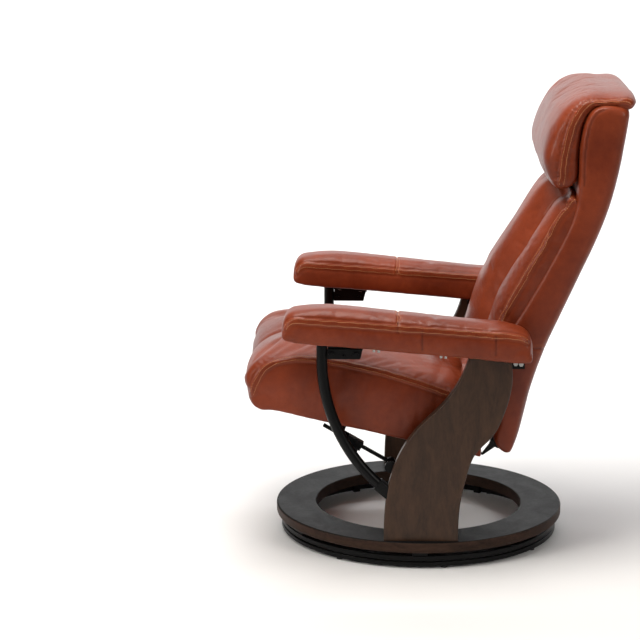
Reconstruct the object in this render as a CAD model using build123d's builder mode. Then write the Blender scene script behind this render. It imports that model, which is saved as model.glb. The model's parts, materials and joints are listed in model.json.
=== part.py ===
from build123d import *
import os
from math import atan2, cos, radians, sin, tan

# Swivel recliner armchair on a round wooden ring base.  Millimetres.
# +Z is up, the origin is on the floor on the swivel axis, the chair faces -Y.
# The sitter's left is +X, so a "left" part stands at +X.
os.makedirs("parts", exist_ok=True)

# ---- driving dimensions -------------------------------------------------------------------
seat_width = 524            # seat cushion, side to side
back_width = 500            # upholstered back shell, side to side
pillow_width = 480          # head pillow, side to side
arm_width = 100             # arm pad, side to side
side_gap = 23               # seat cushion to the leg beside it
arm_inset = 44              # leg's middle to the arm pad's inner face

leg_thickness = 28
leg_edge_r = 4
hip_y = 178                 # recline pivot, behind the swivel axis
hip_rise = 330              # recline pivot above the top of the wooden ring
seat_slope_deg = 12.5       # the seat's underside and its rails run down to the rear
seat_drop = 164.5           # seat's underside below the recline pivot, under the pivot

ring_width = 93
ring_thickness = 25
ring_margin = 17            # wooden ring's rim beyond the leg
ring_round = 8

glide_d = 14
glide_h = 4
glide_count = 8
glide_start_deg = 10
glide_outset = 2            # glides stand this far outside the balls' circle
floor_ring_h = 11
race_gap = 2                # between the two steel rings
swivel_ring_h = 12
steel_ring_width = 22
steel_ring_inset = 12       # steel rings stand in from the wooden ring's rim
ball_d = 7
ball_count = 24
clip_h = 8
clip_count = 6
clip_width = 34
hook_t = 5
hook_gap = 0.6
hook_floor_gap = 1.2        # hooks stay clear of the floor
hook_start_deg = 30

tube_d = 24                 # bow tube under the front of each arm
tube_wall = 2
bow_top_y = -216.5
bow_end_y = -85
bow_end_rise = 119          # bow tube's lower end above the wooden ring
bow_bend_rise = 78          # the tube is straight from here up, above the recline pivot
bow_top_gap = 6             # tube's top below the arm's underside

arm_slope_deg = 4.85        # underside of the arms runs down to the rear
arm_rise = 85               # underside of the arm above the recline pivot, over the pivot
arm_board_t = 16
arm_board_margin = 10

pin_d = 16                  # recline pivot pins
pin_clearance = 0.05
bush_wall = 3
spacer_wall = 5
spacer_gap = 1.5            # spacer sleeve to the side of the back
frame_plate_t = 6
shell_wall = 12
shell_clearance = 2         # between the padded covers of the back

yoke_radius = 128           # recline pivot to the pin that drives the seat
yoke_lead_deg = 2.5         # the pin stands this far ahead of straight down
yoke_pin_d = 10
yoke_play = 0.6
yoke_stroke = 3

rail_x = 150
rail_w = 24
rail_h = 12
rail_clearance = 0.4
runner_wall = 4
runner_lip = 5
cross_tube_d = 28
cross_tube_ys = (10, 75)

strut_x = 245
strut_eye_drop = 170        # rod's eye below the recline pivot
rod_slope_deg = 29.7
rod_d = 9
rod_play = 0.9
rod_length = 171
clamp_distance = 92         # rod's eye to the middle of the clamp
hanger_distance = 128       # rod's eye to the clamp's hinge
clamp_length = 36
clamp_height = 20
clamp_width = 26

headrest_rod_d = 10
headrest_rod_x = 110
headrest_lean_deg = 2.3

# ---- places worked out from them ----------------------------------------------------------
leg_x = seat_width / 2 + side_gap + leg_thickness / 2
leg_inner = leg_x - leg_thickness / 2
leg_outer = leg_x + leg_thickness / 2
ring_outer_r = leg_outer + ring_margin
ring_inner_r = ring_outer_r - ring_width
steel_outer_r = ring_outer_r - steel_ring_inset
steel_inner_r = steel_outer_r - steel_ring_width
race_r = (steel_outer_r + steel_inner_r) / 2
floor_ring_top = glide_h + floor_ring_h
swivel_ring_z = floor_ring_top + race_gap
swivel_ring_top = swivel_ring_z + swivel_ring_h
ring_z = swivel_ring_top + clip_h
ring_top = ring_z + ring_thickness
hip_z = ring_top + hip_rise
arm_inner = leg_x - arm_inset
arm_x = arm_inner + arm_width / 2
SIDES = (("left", 1), ("right", -1))

# Sketches of the upholstery are drawn in the side view from the recline pivot: (y, z) offsets.
hip = Plane(origin=(0, hip_y, hip_z), x_dir=(0, 1, 0), z_dir=(1, 0, 0))


def side_plane(x):
    """Side view at x, drawn in the chair's own y and z."""
    return Plane(origin=(x, 0, 0), x_dir=(0, 1, 0), z_dir=(1, 0, 0))


def arm_z(y):
    """Height of the arm's underside at y."""
    return hip_z + arm_rise - (y - hip_y) * tan(radians(arm_slope_deg))


def seat_under_z(y):
    """Height of the seat's underside at y: a plane falling to the rear."""
    return hip_z - seat_drop - (y - hip_y) * tan(radians(seat_slope_deg))


def ring_places(radius, count, start=0):
    """Places evenly spread on a circle, each turned to face outwards."""
    return PolarLocations(radius, count, start_angle=start)


def radial_planes(count, start=0):
    """Upright planes through the swivel axis, x outwards."""
    angles = [radians(start + 360 * k / count) for k in range(count)]
    return [Plane(origin=(0, 0, 0), x_dir=(cos(a), sin(a), 0), z_dir=(sin(a), -cos(a), 0)) for a in angles]


def rims(ring, radius):
    """Circular edges of a ring that are larger than a radius."""
    return ring.edges().filter_by(GeomType.CIRCLE).filter_by(lambda edge: edge.radius > radius)


def save(part, name):
    """Label a finished piece and write it out."""
    part.label = name
    export_step(part, f"parts/{name}.step")


# ---- base that stays on the floor ---------------------------------------------------------
race_z = (floor_ring_top + swivel_ring_z) / 2
groove_r = ball_d / 2 + 0.05

with BuildPart() as floor_ring:
    with BuildSketch(Plane.XY.offset(glide_h)):
        Circle(steel_outer_r)
        Circle(steel_inner_r + hook_gap, mode=Mode.SUBTRACT)
    extrude(amount=floor_ring_h)
    fillet(rims(floor_ring, race_r), 2)
    with Locations((0, 0, race_z)):
        Torus(race_r, groove_r, mode=Mode.SUBTRACT)
save(floor_ring.part, "floor_ring")

with BuildPart() as floor_glides:
    with BuildSketch():
        with ring_places(race_r + glide_outset, glide_count, glide_start_deg):
            Circle(glide_d / 2)
    extrude(amount=glide_h)
save(floor_glides.part, "floor_glides")

with BuildPart() as bearing_balls:
    with Locations((0, 0, race_z)):
        with ring_places(race_r, ball_count):
            Sphere(ball_d / 2)
save(bearing_balls.part, "bearing_balls")

with BuildPart() as ball_cage:
    with BuildSketch(Plane.XY.offset(race_z - 0.5)):
        Circle(race_r + ball_d)
        Circle(race_r - ball_d, mode=Mode.SUBTRACT)
        with ring_places(race_r, ball_count):
            Circle(ball_d / 2 + 0.1, mode=Mode.SUBTRACT)
    extrude(amount=1)
save(ball_cage.part, "ball_cage")

# ---- turntable: swivel ring, wooden ring and what holds them together ---------------------
with BuildPart() as swivel_ring:
    with BuildSketch(Plane.XY.offset(swivel_ring_z)):
        Circle(steel_outer_r)
        Circle(steel_inner_r, mode=Mode.SUBTRACT)
    extrude(amount=swivel_ring_h)
    fillet(rims(swivel_ring, race_r), 2)
    with Locations((0, 0, race_z)):
        Torus(race_r, groove_r, mode=Mode.SUBTRACT)
save(swivel_ring.part, "swivel_ring")

# Hooks on the swivel ring's inner face reach under the floor ring, so the chair lifts as one.
hook_reach = 5
hook_width = 16
hook_top = swivel_ring_top - 2
hook_under_gap = 0.5        # hook to the underside of the floor ring
with BuildPart() as retaining_hooks:
    with BuildSketch(*radial_planes(clip_count, hook_start_deg)):
        with BuildLine():
            Polyline(
                (steel_inner_r, hook_top),
                (steel_inner_r - hook_t, hook_top),
                (steel_inner_r - hook_t, hook_floor_gap),
                (steel_inner_r + hook_reach, hook_floor_gap),
                (steel_inner_r + hook_reach, glide_h - hook_under_gap),
                (steel_inner_r, glide_h - hook_under_gap),
                close=True,
            )
        make_face()
    extrude(amount=hook_width / 2, both=True)
    with BuildSketch(Plane.XY.offset(glide_h)):
        Circle(steel_outer_r)
        Circle(steel_inner_r - 0.02, mode=Mode.SUBTRACT)
    extrude(amount=swivel_ring_top, mode=Mode.SUBTRACT)
save(retaining_hooks.part, "retaining_hooks")

clip_inner_r = steel_inner_r - 26
clip_screw_r = clip_inner_r + 12
clip_screw_d = 5
clip_reach = steel_outer_r - clip_inner_r
with BuildPart() as ring_clips:
    with BuildSketch(Plane.XY.offset(swivel_ring_top)):
        with ring_places((clip_inner_r + steel_outer_r) / 2 - 1, clip_count):
            Rectangle(clip_reach - 2, clip_width)
        with ring_places(clip_screw_r, clip_count):
            Circle(clip_screw_d / 2 + 0.2, mode=Mode.SUBTRACT)
    extrude(amount=clip_h)
save(ring_clips.part, "ring_clips")

with BuildPart() as clip_screws:
    with BuildSketch(Plane.XY.offset(swivel_ring_top - 3)):
        with ring_places(clip_screw_r, clip_count):
            Circle(clip_screw_d)
    extrude(amount=3)
    with BuildSketch(Plane.XY.offset(swivel_ring_top)):
        with ring_places(clip_screw_r, clip_count):
            Circle(clip_screw_d / 2)
    extrude(amount=clip_h + ring_thickness - 8)
save(clip_screws.part, "clip_screws")

# Two long screws come up through the wooden ring into the foot of each leg.
leg_screw_y = 45
leg_screw_d = 8
leg_screw_head_h = 6
leg_screw_length = 75
leg_screw_places = [(side * leg_x, y) for side in (1, -1) for y in (-leg_screw_y, leg_screw_y)]
with BuildPart() as leg_screws:
    with BuildSketch(Plane.XY.offset(ring_z + 1)):
        with Locations(*leg_screw_places):
            Circle(leg_screw_d * 0.85)
    extrude(amount=leg_screw_head_h)
    with BuildSketch(Plane.XY.offset(ring_z + 1 + leg_screw_head_h)):
        with Locations(*leg_screw_places):
            Circle(leg_screw_d / 2)
    extrude(amount=leg_screw_length)
save(leg_screws.part, "leg_screws")

with BuildPart() as wood_ring:
    with BuildSketch(Plane.XY.offset(ring_z)):
        Circle(ring_outer_r)
        Circle(ring_inner_r, mode=Mode.SUBTRACT)
    extrude(amount=ring_thickness)
    fillet(rims(wood_ring, race_r).group_by(Axis.Z)[0], ring_round)
    fillet(wood_ring.edges().filter_by(GeomType.CIRCLE).group_by(Axis.Z)[-1], 3)
    with BuildSketch(Plane.XY.offset(ring_z)):
        with ring_places(clip_screw_r, clip_count):
            Circle(clip_screw_d / 2 + 0.1)
    extrude(amount=ring_thickness - 7, mode=Mode.SUBTRACT)
    with BuildSketch(Plane.XY.offset(ring_z)):
        with Locations(*leg_screw_places):
            Circle(leg_screw_d * 0.85 + 0.5)
    extrude(amount=1 + leg_screw_head_h, mode=Mode.SUBTRACT)
    with BuildSketch(Plane.XY.offset(ring_z)):
        with Locations(*leg_screw_places):
            Circle(leg_screw_d / 2 + 0.1)
    extrude(amount=ring_thickness, mode=Mode.SUBTRACT)
save(wood_ring.part, "wood_ring")

# ---- S-shaped wooden legs -----------------------------------------------------------------
# Edge points are (y, share of the leg's height); the top is cut to the arm's slope.
leg_front = ((-80, 0), (-78, 0.16), (-66, 0.33), (-46, 0.455), (-3, 0.605), (40, 0.71), (83, 0.861), (104, 1))
leg_rear = ((84, 0), (89, 0.2225), (101, 0.354), (120, 0.474), (156, 0.572), (177, 0.675), (194, 0.82), (192, 1))


def leg_edge(points):
    """The points at their heights: shares run from the wooden ring to the arm's underside."""
    return [(y, ring_top + share * (arm_z(y) - ring_top)) for y, share in points]


pin_hole_depth = 20
cross_tube_zs = []
rail_drop = runner_wall + rail_clearance + rail_h        # seat's underside to the rail's underside
saddle_h = 6
for y in cross_tube_ys:
    cross_tube_zs.append(seat_under_z(y) - rail_drop / cos(radians(seat_slope_deg)) - saddle_h - cross_tube_d / 2)

# The rod of the strut pivots on a lug on the left leg's inner face.
rod_eye_y = -66
rod_eye_z = hip_z - strut_eye_drop
rod_slope = radians(rod_slope_deg)
lug_t = 6

legs = {}
for label, side in SIDES:
    with BuildPart() as leg:
        with BuildSketch(side_plane(side * leg_x)):
            with BuildLine():
                front = Spline(*leg_edge(leg_front))
                Line(front @ 1, leg_edge(leg_rear)[-1])
                rear = Spline(*leg_edge(leg_rear))
                Line(front @ 0, rear @ 0)
            make_face()
        extrude(amount=leg_thickness / 2, both=True)
        fillet(leg.edges().filter_by(GeomType.BSPLINE), leg_edge_r)
        with BuildSketch(Plane.XY.offset(ring_top)):
            with Locations(*leg_screw_places):
                Circle(leg_screw_d / 2 + 0.1)
        extrude(amount=leg_screw_length - ring_thickness + 10, mode=Mode.SUBTRACT)
        with BuildSketch(side_plane(side * (leg_inner + pin_hole_depth / 2))):
            with Locations((hip_y, hip_z)):
                Circle(pin_d / 2 + pin_clearance)
        extrude(amount=pin_hole_depth / 2 + 0.01, both=True, mode=Mode.SUBTRACT)
    legs[label] = leg.part

# ---- bow tubes ----------------------------------------------------------------------------
bow_end_z = ring_top + bow_end_rise
bow_bend_z = hip_z + bow_bend_rise
bow_top_z = arm_z(bow_top_y) - bow_top_gap
bow_run = bow_end_y - bow_top_y
bow_drop = bow_bend_z - bow_end_z
bow_r = (bow_run**2 + bow_drop**2) / (2 * bow_run)
bow_tilt = atan2(bow_drop, bow_r - bow_run)               # angle swept by the bow's arc
bow_dir = (sin(bow_tilt), -cos(bow_tilt))                 # the tube's direction at its lower end
tab_t = 5
bracket_t = 5
plate_t = 4
tab_rear_y = -133
tab_h = 22
tab_front_y = bow_top_y + tube_d / 2 - 1
bracket_bolt_ys = (-196, -143)
bracket_bolt_z = hip_z + arm_rise + 3
bracket_bolt_d = 8
stud_d = 8
ferrule_size = tube_d + 2
ferrule_reach = 30
socket_depth = 12
socket_play = 0.3           # the bow still curves a little inside its straight socket

bow_tubes = {}
for label, side in SIDES:
    with BuildPart() as bow_tube:
        with BuildLine(side_plane(side * leg_x)) as path:
            drop = Line((bow_top_y, bow_top_z), (bow_top_y, bow_bend_z))
            TangentArc(drop @ 1, (bow_end_y, bow_end_z), tangent=drop % 1)
        with BuildSketch(Plane(origin=path.line @ 0, z_dir=path.line % 0)):
            Circle(tube_d / 2)
            Circle(tube_d / 2 - tube_wall, mode=Mode.SUBTRACT)
        sweep(path=path.line)
        with BuildSketch(side_plane(side * (leg_x + tab_t / 2 + 1))):
            with Locations(((tab_rear_y + tab_front_y) / 2, bracket_bolt_z + 1)):
                RectangleRounded(tab_rear_y - tab_front_y, tab_h, 3)
            with Locations(*[(y, bracket_bolt_z) for y in bracket_bolt_ys]):
                Circle(bracket_bolt_d / 2 + 0.1, mode=Mode.SUBTRACT)
            with Locations((sum(bracket_bolt_ys) / 2, bracket_bolt_z)):
                Circle(bracket_bolt_d / 2 - 1, mode=Mode.SUBTRACT)
        extrude(amount=tab_t / 2, both=True)
    bow_tubes[label] = bow_tube.part
    save(bow_tube.part, f"bow_tube_{label}")

    with BuildPart() as tube_ferrule:
        end = Plane(origin=(side * leg_x, bow_end_y, bow_end_z), x_dir=(1, 0, 0), z_dir=(0, *bow_dir))
        with BuildSketch(end.offset(-socket_depth)):
            RectangleRounded(ferrule_size, ferrule_size, 4)
        extrude(amount=socket_depth + ferrule_reach)
        with BuildSketch(end.offset(-socket_depth)):
            Circle(tube_d / 2 + socket_play)
        extrude(amount=socket_depth, mode=Mode.SUBTRACT)
        with BuildSketch(end):
            Circle(stud_d / 2 + 0.05)
        extrude(amount=ferrule_reach + 30, mode=Mode.SUBTRACT)
        add(legs[label], mode=Mode.SUBTRACT)
    ferrule = tube_ferrule.part.solids().sort_by(Axis.Y)[0]
    save(ferrule, f"tube_ferrule_{label}")

    with BuildPart() as drilled_leg:
        add(legs[label])
        with BuildSketch(end):
            Circle(stud_d / 2 + 0.05)
        extrude(amount=60, mode=Mode.SUBTRACT)
    legs[label] = drilled_leg.part

with BuildPart() as ferrule_studs:
    for label, side in SIDES:
        end = Plane(origin=(side * leg_x, bow_end_y, bow_end_z), x_dir=(1, 0, 0), z_dir=(0, *bow_dir))
        with BuildSketch(end):
            Circle(stud_d / 2)
        extrude(amount=58)
save(ferrule_studs.part, "ferrule_studs")

# ---- arms ---------------------------------------------------------------------------------
# The arm pad's side view from the recline pivot: top line, nose and heel.
arm_nose = ((-480, 151), (-476, 177), (-461, 191), (-440, 195))
arm_top = ((-440, 195), (-397, 198), (-355, 196), (-231, 184), (-56, 167), (-14, 164), (19, 157), (40, 150))
arm_heel = ((40, 150), (55, 137), (60, 122), (57, 100), (46, 89))
arm_front_y = -462
arm_rear_y = 50
board_front = -435
board_rear = 35


def arm_under(u, lift=0):
    """Point on the arm's underside, u behind the pivot, lifted square to it."""
    tilt = radians(arm_slope_deg)
    return (u + lift * sin(tilt), arm_rise - u * tan(tilt) + lift * cos(tilt))


# Wood screws hold the boards of the arms from below.
arm_screw_d = 5
arm_screw_places = [(leg_x - 17, -190), (leg_x - 17, -140), (leg_inner - 14, 130), (leg_inner - 14, 200)]
with BuildPart() as arm_screws:
    for label, side in SIDES:
        for x, y in arm_screw_places:
            under = Plane(
                origin=(side * x, y, arm_z(y)),
                x_dir=(1, 0, 0),
                z_dir=(0, sin(radians(arm_slope_deg)), cos(radians(arm_slope_deg))),
            )
            plate = bracket_t if y < 0 else plate_t
            with BuildSketch(under.offset(-plate - 2.5)):
                Circle(arm_screw_d)
            extrude(amount=2.5)
            with BuildSketch(under.offset(-plate)):
                Circle(arm_screw_d / 2)
            extrude(amount=plate + arm_board_t - 4)
save(arm_screws.part, "arm_screws")

# Pairs of screws with tall heads hold each padded cover's board, near the outer edge of the arm.
pad_screw_d = 4
pad_screw_head_h = 6
pad_screw_ys = (-103, -93, 41, 51)
with BuildPart() as pad_screws:
    for label, side in SIDES:
        for y in pad_screw_ys:
            under = Plane(
                origin=(side * (arm_x + 34), y, arm_z(y)),
                x_dir=(1, 0, 0),
                z_dir=(0, sin(radians(arm_slope_deg)), cos(radians(arm_slope_deg))),
            )
            with BuildSketch(under.offset(-pad_screw_head_h)):
                Circle(pad_screw_d * 0.8)
            extrude(amount=pad_screw_head_h)
            with BuildSketch(under):
                Circle(pad_screw_d / 2)
            extrude(amount=arm_board_t - 3)
save(pad_screws.part, "pad_screws")

for label, side in SIDES:
    with BuildPart() as arm_board:
        with BuildSketch(hip.offset(side * arm_x)):
            with BuildLine():
                Polyline(
                    arm_under(board_front),
                    arm_under(board_rear),
                    arm_under(board_rear, arm_board_t),
                    arm_under(board_front, arm_board_t),
                    close=True,
                )
            make_face()
        extrude(amount=arm_width / 2 - arm_board_margin, both=True)
        fillet(arm_board.edges().filter_by(Axis.Z, tolerance=10), 25)
        add(arm_screws.part, mode=Mode.SUBTRACT)
        add(pad_screws.part, mode=Mode.SUBTRACT)
    save(arm_board.part, f"arm_board_{label}")

    with BuildPart() as arm_pad:
        with BuildSketch(hip.offset(side * arm_x)):
            with BuildLine():
                under = Line(arm_under(arm_front_y), arm_under(arm_rear_y))
                nose = Spline(under @ 0, *arm_nose)
                top = Spline(*arm_top)
                Spline(*arm_heel[:-1], under @ 1)
            make_face()
        extrude(amount=arm_width / 2, both=True)
        add(arm_board.part, mode=Mode.SUBTRACT)
        add(arm_screws.part, mode=Mode.SUBTRACT)
        add(pad_screws.part, mode=Mode.SUBTRACT)
    save(arm_pad.part, f"arm_pad_{label}")

# Angle under the front of each arm: its upright flange is bolted to the tab on the bow tube.
flange_w = 32
bracket_front_y = -204
bracket_rear_y = -125
bracket_foot_z = bracket_bolt_z - 10
bracket_x = leg_x + 1                                    # face the bow tube's tab is bolted to
for label, side in SIDES:
    with BuildPart() as arm_bracket:
        with BuildSketch(side_plane(side * (bracket_x - bracket_t / 2))):
            with BuildLine():
                Polyline(
                    (bracket_front_y, bracket_foot_z),
                    (bracket_rear_y - 8, bracket_foot_z),
                    (bracket_rear_y, arm_z(bracket_rear_y)),
                    (bracket_front_y, arm_z(bracket_front_y)),
                    close=True,
                )
            make_face()
            with Locations(*[(y, bracket_bolt_z) for y in bracket_bolt_ys]):
                Circle(bracket_bolt_d / 2 + 0.1, mode=Mode.SUBTRACT)
        extrude(amount=bracket_t / 2, both=True)
        with BuildSketch(side_plane(side * (bracket_x - flange_w / 2))):
            with BuildLine():
                Polyline(
                    (bracket_front_y, arm_z(bracket_front_y)),
                    (bracket_rear_y, arm_z(bracket_rear_y)),
                    (bracket_rear_y, arm_z(bracket_rear_y) - bracket_t),
                    (bracket_front_y, arm_z(bracket_front_y) - bracket_t),
                    close=True,
                )
            make_face()
        extrude(amount=flange_w / 2, both=True)
        add(bow_tubes[label], mode=Mode.SUBTRACT)
        add(arm_screws.part, mode=Mode.SUBTRACT)
    save(arm_bracket.part, f"arm_bracket_{label}")


def hex_bolts(x, side, places, d, reach, head_h):
    """Hexagon-head bolts lying along x: heads outside x, shanks reaching inwards."""
    with BuildPart() as bolts:
        with BuildSketch(side_plane(x)):
            with Locations(*places):
                RegularPolygon(d * 0.85, 6)
        extrude(amount=side * head_h)
        with BuildSketch(side_plane(x)):
            with Locations(*places):
                Circle(d / 2)
        extrude(amount=-side * reach)
    return bolts.part


with BuildPart() as bracket_bolts:
    for label, side in SIDES:
        places = [(y, bracket_bolt_z) for y in bracket_bolt_ys]
        add(hex_bolts(side * (bracket_x + tab_t), side, places, bracket_bolt_d, tab_t + bracket_t + 8, 5))
save(bracket_bolts.part, "bracket_bolts")

# Plate behind the top of each leg carries the rear of the arm.
plate_ys = (118, 224)
plate_foot_z = hip_z + 54
plate_bolts_leg = [(140, hip_z + 66), (168, hip_z + 62)]
plate_bolts_rear = [(204, hip_z + 66), (216, hip_z + 65)]
plate_shelf_w = 24
plate_bolt_d = 6
for label, side in SIDES:
    with BuildPart() as top_plate:
        with BuildSketch(side_plane(side * (leg_inner - plate_t / 2))):
            with BuildLine():
                Polyline(
                    (plate_ys[0], plate_foot_z),
                    (plate_ys[1], plate_foot_z),
                    (plate_ys[1], arm_z(plate_ys[1])),
                    (plate_ys[0], arm_z(plate_ys[0])),
                    close=True,
                )
            make_face()
            with Locations(*plate_bolts_leg, *plate_bolts_rear):
                Circle(plate_bolt_d / 2 + 0.1, mode=Mode.SUBTRACT)
        extrude(amount=plate_t / 2, both=True)
        with BuildSketch(side_plane(side * (leg_inner - plate_shelf_w / 2))):
            with BuildLine():
                Polyline(
                    (plate_ys[0], arm_z(plate_ys[0])),
                    (plate_ys[1], arm_z(plate_ys[1])),
                    (plate_ys[1], arm_z(plate_ys[1]) - plate_t),
                    (plate_ys[0], arm_z(plate_ys[0]) - plate_t),
                    close=True,
                )
            make_face()
        extrude(amount=plate_shelf_w / 2, both=True)
        add(arm_screws.part, mode=Mode.SUBTRACT)
    save(top_plate.part, f"leg_top_plate_{label}")

with BuildPart() as plate_bolts:
    for label, side in SIDES:
        add(hex_bolts(side * (leg_inner - plate_t), -side, plate_bolts_leg, plate_bolt_d, plate_t + 16, 4))
        add(hex_bolts(side * leg_inner, side, plate_bolts_rear, plate_bolt_d, plate_t + 5, 4))
save(plate_bolts.part, "plate_bolts")

# ---- cross tubes and slide rails under the seat -------------------------------------------
end_screw_d = 5
end_plate_t = 5
with BuildPart() as cross_tubes:
    for y, z in zip(cross_tube_ys, cross_tube_zs):
        with BuildSketch(side_plane(0)):
            with Locations((y, z)):
                Circle(cross_tube_d / 2)
                Circle(cross_tube_d / 2 - tube_wall, mode=Mode.SUBTRACT)
        extrude(amount=leg_inner - end_plate_t, both=True)
save(cross_tubes.part, "cross_tubes")

end_screw_dz = cross_tube_d / 2 + 6
end_plate_h = 2 * end_screw_dz + 14
end_plate_w = cross_tube_d + 12
end_screws_at = [(y, z + dz) for y, z in zip(cross_tube_ys, cross_tube_zs) for dz in (-end_screw_dz, end_screw_dz)]
with BuildPart() as cross_tube_plates:
    for label, side in SIDES:
        with BuildSketch(side_plane(side * (leg_inner - end_plate_t / 2))):
            with Locations(*zip(cross_tube_ys, cross_tube_zs)):
                RectangleRounded(end_plate_w, end_plate_h, 5)
            with Locations(*end_screws_at):
                Circle(end_screw_d / 2 + 0.1, mode=Mode.SUBTRACT)
        extrude(amount=end_plate_t / 2, both=True)
save(cross_tube_plates.part, "cross_tube_plates")

with BuildPart() as cross_tube_screws:
    for label, side in SIDES:
        add(hex_bolts(side * (leg_inner - end_plate_t), -side, end_screws_at, end_screw_d, end_plate_t + 18, 3))
save(cross_tube_screws.part, "cross_tube_screws")


def seat_plane(x, y=0):
    """Side view at x with u forward-and-up along the seat's underside and v square to it."""
    a = radians(seat_slope_deg)
    return Plane(origin=(x, y, seat_under_z(y)), x_dir=(0, cos(a), -sin(a)), z_dir=(1, 0, 0))


rail_mid_y = 18
rail_length = 186
runner_length = 96
runner_mid_y = 30
for label, side in SIDES:
    with BuildPart() as rail:
        with BuildSketch(seat_plane(side * rail_x, rail_mid_y)):
            with Locations((0, -runner_wall - rail_clearance - rail_h / 2)):
                Rectangle(rail_length, rail_h)
        extrude(amount=rail_w / 2, both=True)
        fillet(rail.edges().filter_by(Axis.X).group_by(Axis.Y)[0], 3)
    save(rail.part, f"slide_rail_{label}")

with BuildPart() as rail_saddles:
    for label, side in SIDES:
        for y, z in zip(cross_tube_ys, cross_tube_zs):
            with BuildSketch(side_plane(side * rail_x)):
                with BuildLine():
                    Polyline(
                        (y - 12, z),
                        (y + 12, z),
                        (y + 12, seat_under_z(y + 12) - rail_drop / cos(radians(seat_slope_deg))),
                        (y - 12, seat_under_z(y - 12) - rail_drop / cos(radians(seat_slope_deg))),
                        close=True,
                    )
                make_face()
                with Locations((y, z)):
                    Circle(cross_tube_d / 2, mode=Mode.SUBTRACT)
            extrude(amount=rail_w / 2 - runner_lip - 1, both=True)
save(rail_saddles.part, "rail_saddles")

# ---- recline pivots -----------------------------------------------------------------------
plate_outer_x = back_width / 2 - shell_wall - 3          # outer face of the back frame's side plate
plate_inner_x = plate_outer_x - frame_plate_t
with BuildPart() as pivot_pins:
    for label, side in SIDES:
        with BuildSketch(hip.offset(side * (plate_inner_x - 4))):
            Circle(pin_d / 2)
        extrude(amount=side * (leg_inner + pin_hole_depth - plate_inner_x + 4))
save(pivot_pins.part, "pivot_pins")

with BuildPart() as pivot_spacers:
    for label, side in SIDES:
        with BuildSketch(hip.offset(side * (back_width / 2 + spacer_gap))):
            Circle(pin_d / 2 + spacer_wall)
            Circle(pin_d / 2 + pin_clearance, mode=Mode.SUBTRACT)
        extrude(amount=side * (leg_inner - back_width / 2 - spacer_gap))
save(pivot_spacers.part, "pivot_spacers")

with BuildPart() as pivot_bushes:
    for label, side in SIDES:
        with BuildSketch(hip.offset(side * plate_inner_x)):
            Circle(pin_d / 2 + bush_wall)
            Circle(pin_d / 2 + pin_clearance, mode=Mode.SUBTRACT)
        extrude(amount=side * frame_plate_t)
        with BuildSketch(hip.offset(side * plate_inner_x)):
            Circle(pin_d / 2 + bush_wall + 4)
            Circle(pin_d / 2 + pin_clearance, mode=Mode.SUBTRACT)
        extrude(amount=-side * 2)
save(pivot_bushes.part, "pivot_bushes")

# ---- back frame ---------------------------------------------------------------------------
yoke_a = radians(yoke_lead_deg)
yoke_pin = (-yoke_radius * sin(yoke_a), -yoke_radius * cos(yoke_a))
# Middle of each side plate, from the recline pivot up.
frame_curve = ((2, -60), (4, 0), (16, 44), (42, 88), (77, 168), (118, 248), (156, 328), (184, 408), (200, 500))
frame_half = 17
frame_tubes = ((30, 70), (97, 208), (171, 368))
frame_tube_d = 20
yoke_eye_r = 11
for label, side in SIDES:
    with BuildPart() as side_plate:
        with BuildSketch(hip.offset(side * (plate_outer_x - frame_plate_t / 2))):
            with BuildLine():
                low = (yoke_pin[0], yoke_pin[1])
                front = Spline((low[0] - yoke_eye_r, low[1]), *[(u - frame_half, v) for u, v in frame_curve])
                rear = Spline((low[0] + yoke_eye_r, low[1]), *[(u + frame_half, v) for u, v in frame_curve])
                Line(front @ 1, rear @ 1)
                ThreePointArc(front @ 0, (low[0], low[1] - yoke_eye_r), rear @ 0)
            make_face()
            Circle(pin_d / 2 + bush_wall, mode=Mode.SUBTRACT)
            with Locations(low):
                Circle(yoke_pin_d / 2, mode=Mode.SUBTRACT)
            with Locations(*frame_tubes):
                Circle(frame_tube_d / 2, mode=Mode.SUBTRACT)
        extrude(amount=frame_plate_t / 2, both=True)
    save(side_plate.part, f"back_side_plate_{label}")

with BuildPart() as back_cross_tubes:
    for place in frame_tubes:
        with BuildSketch(hip):
            with Locations(place):
                Circle(frame_tube_d / 2)
                Circle(frame_tube_d / 2 - tube_wall, mode=Mode.SUBTRACT)
        extrude(amount=plate_outer_x, both=True)
save(back_cross_tubes.part, "back_cross_tubes")

web_lean_deg = 27
web_t = 2.5
web_w = 34
web_places = ((44, 110), (64, 150), (116, 262), (136, 305))
with BuildPart() as back_webbing:
    for u, v in web_places:
        with BuildSketch(hip):
            with Locations(Location((u, v), -web_lean_deg)):
                Rectangle(web_t, web_w)
        extrude(amount=plate_inner_x, both=True)
save(back_webbing.part, "back_webbing")

yoke_plate_x = plate_inner_x - 16
yoke_plate_t = 6
yoke_pin_end = 4            # pin's end beyond the slotted plate
with BuildPart() as yoke_pins:
    for label, side in SIDES:
        with BuildSketch(hip.offset(side * (yoke_plate_x - yoke_plate_t - yoke_pin_end))):
            with Locations(yoke_pin):
                Circle(yoke_pin_d / 2)
        extrude(amount=side * (plate_outer_x - yoke_plate_x + yoke_plate_t + yoke_pin_end))
save(yoke_pins.part, "yoke_pins")

# ---- back upholstery ----------------------------------------------------------------------
# Side view of the shell from the recline pivot, starting at its lower front corner.
shell_rear = ((15, -152), (24, -146), (43, -98), (65, -7), (96, 88), (145, 200), (213, 355), (244, 465), (264, 584))
shell_top = ((264, 584), (266, 608), (258, 620), (239, 625), (215, 626), (193, 621))
shell_front_top = ((193, 621), (178, 609), (166, 584), (158, 543), (156, 500), (155, 449))
shell_front = ((155, 449), (141, 377), (98, 284), (46, 189), (15, 136), (-6, 80), (-26, 24), (-28, -14), (-18, -45))
shell_low_front = ((-18, -45), (-10, -66), (-18, -105), (-16, -126), (-8, -138), (4, -148), (15, -152))


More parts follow.
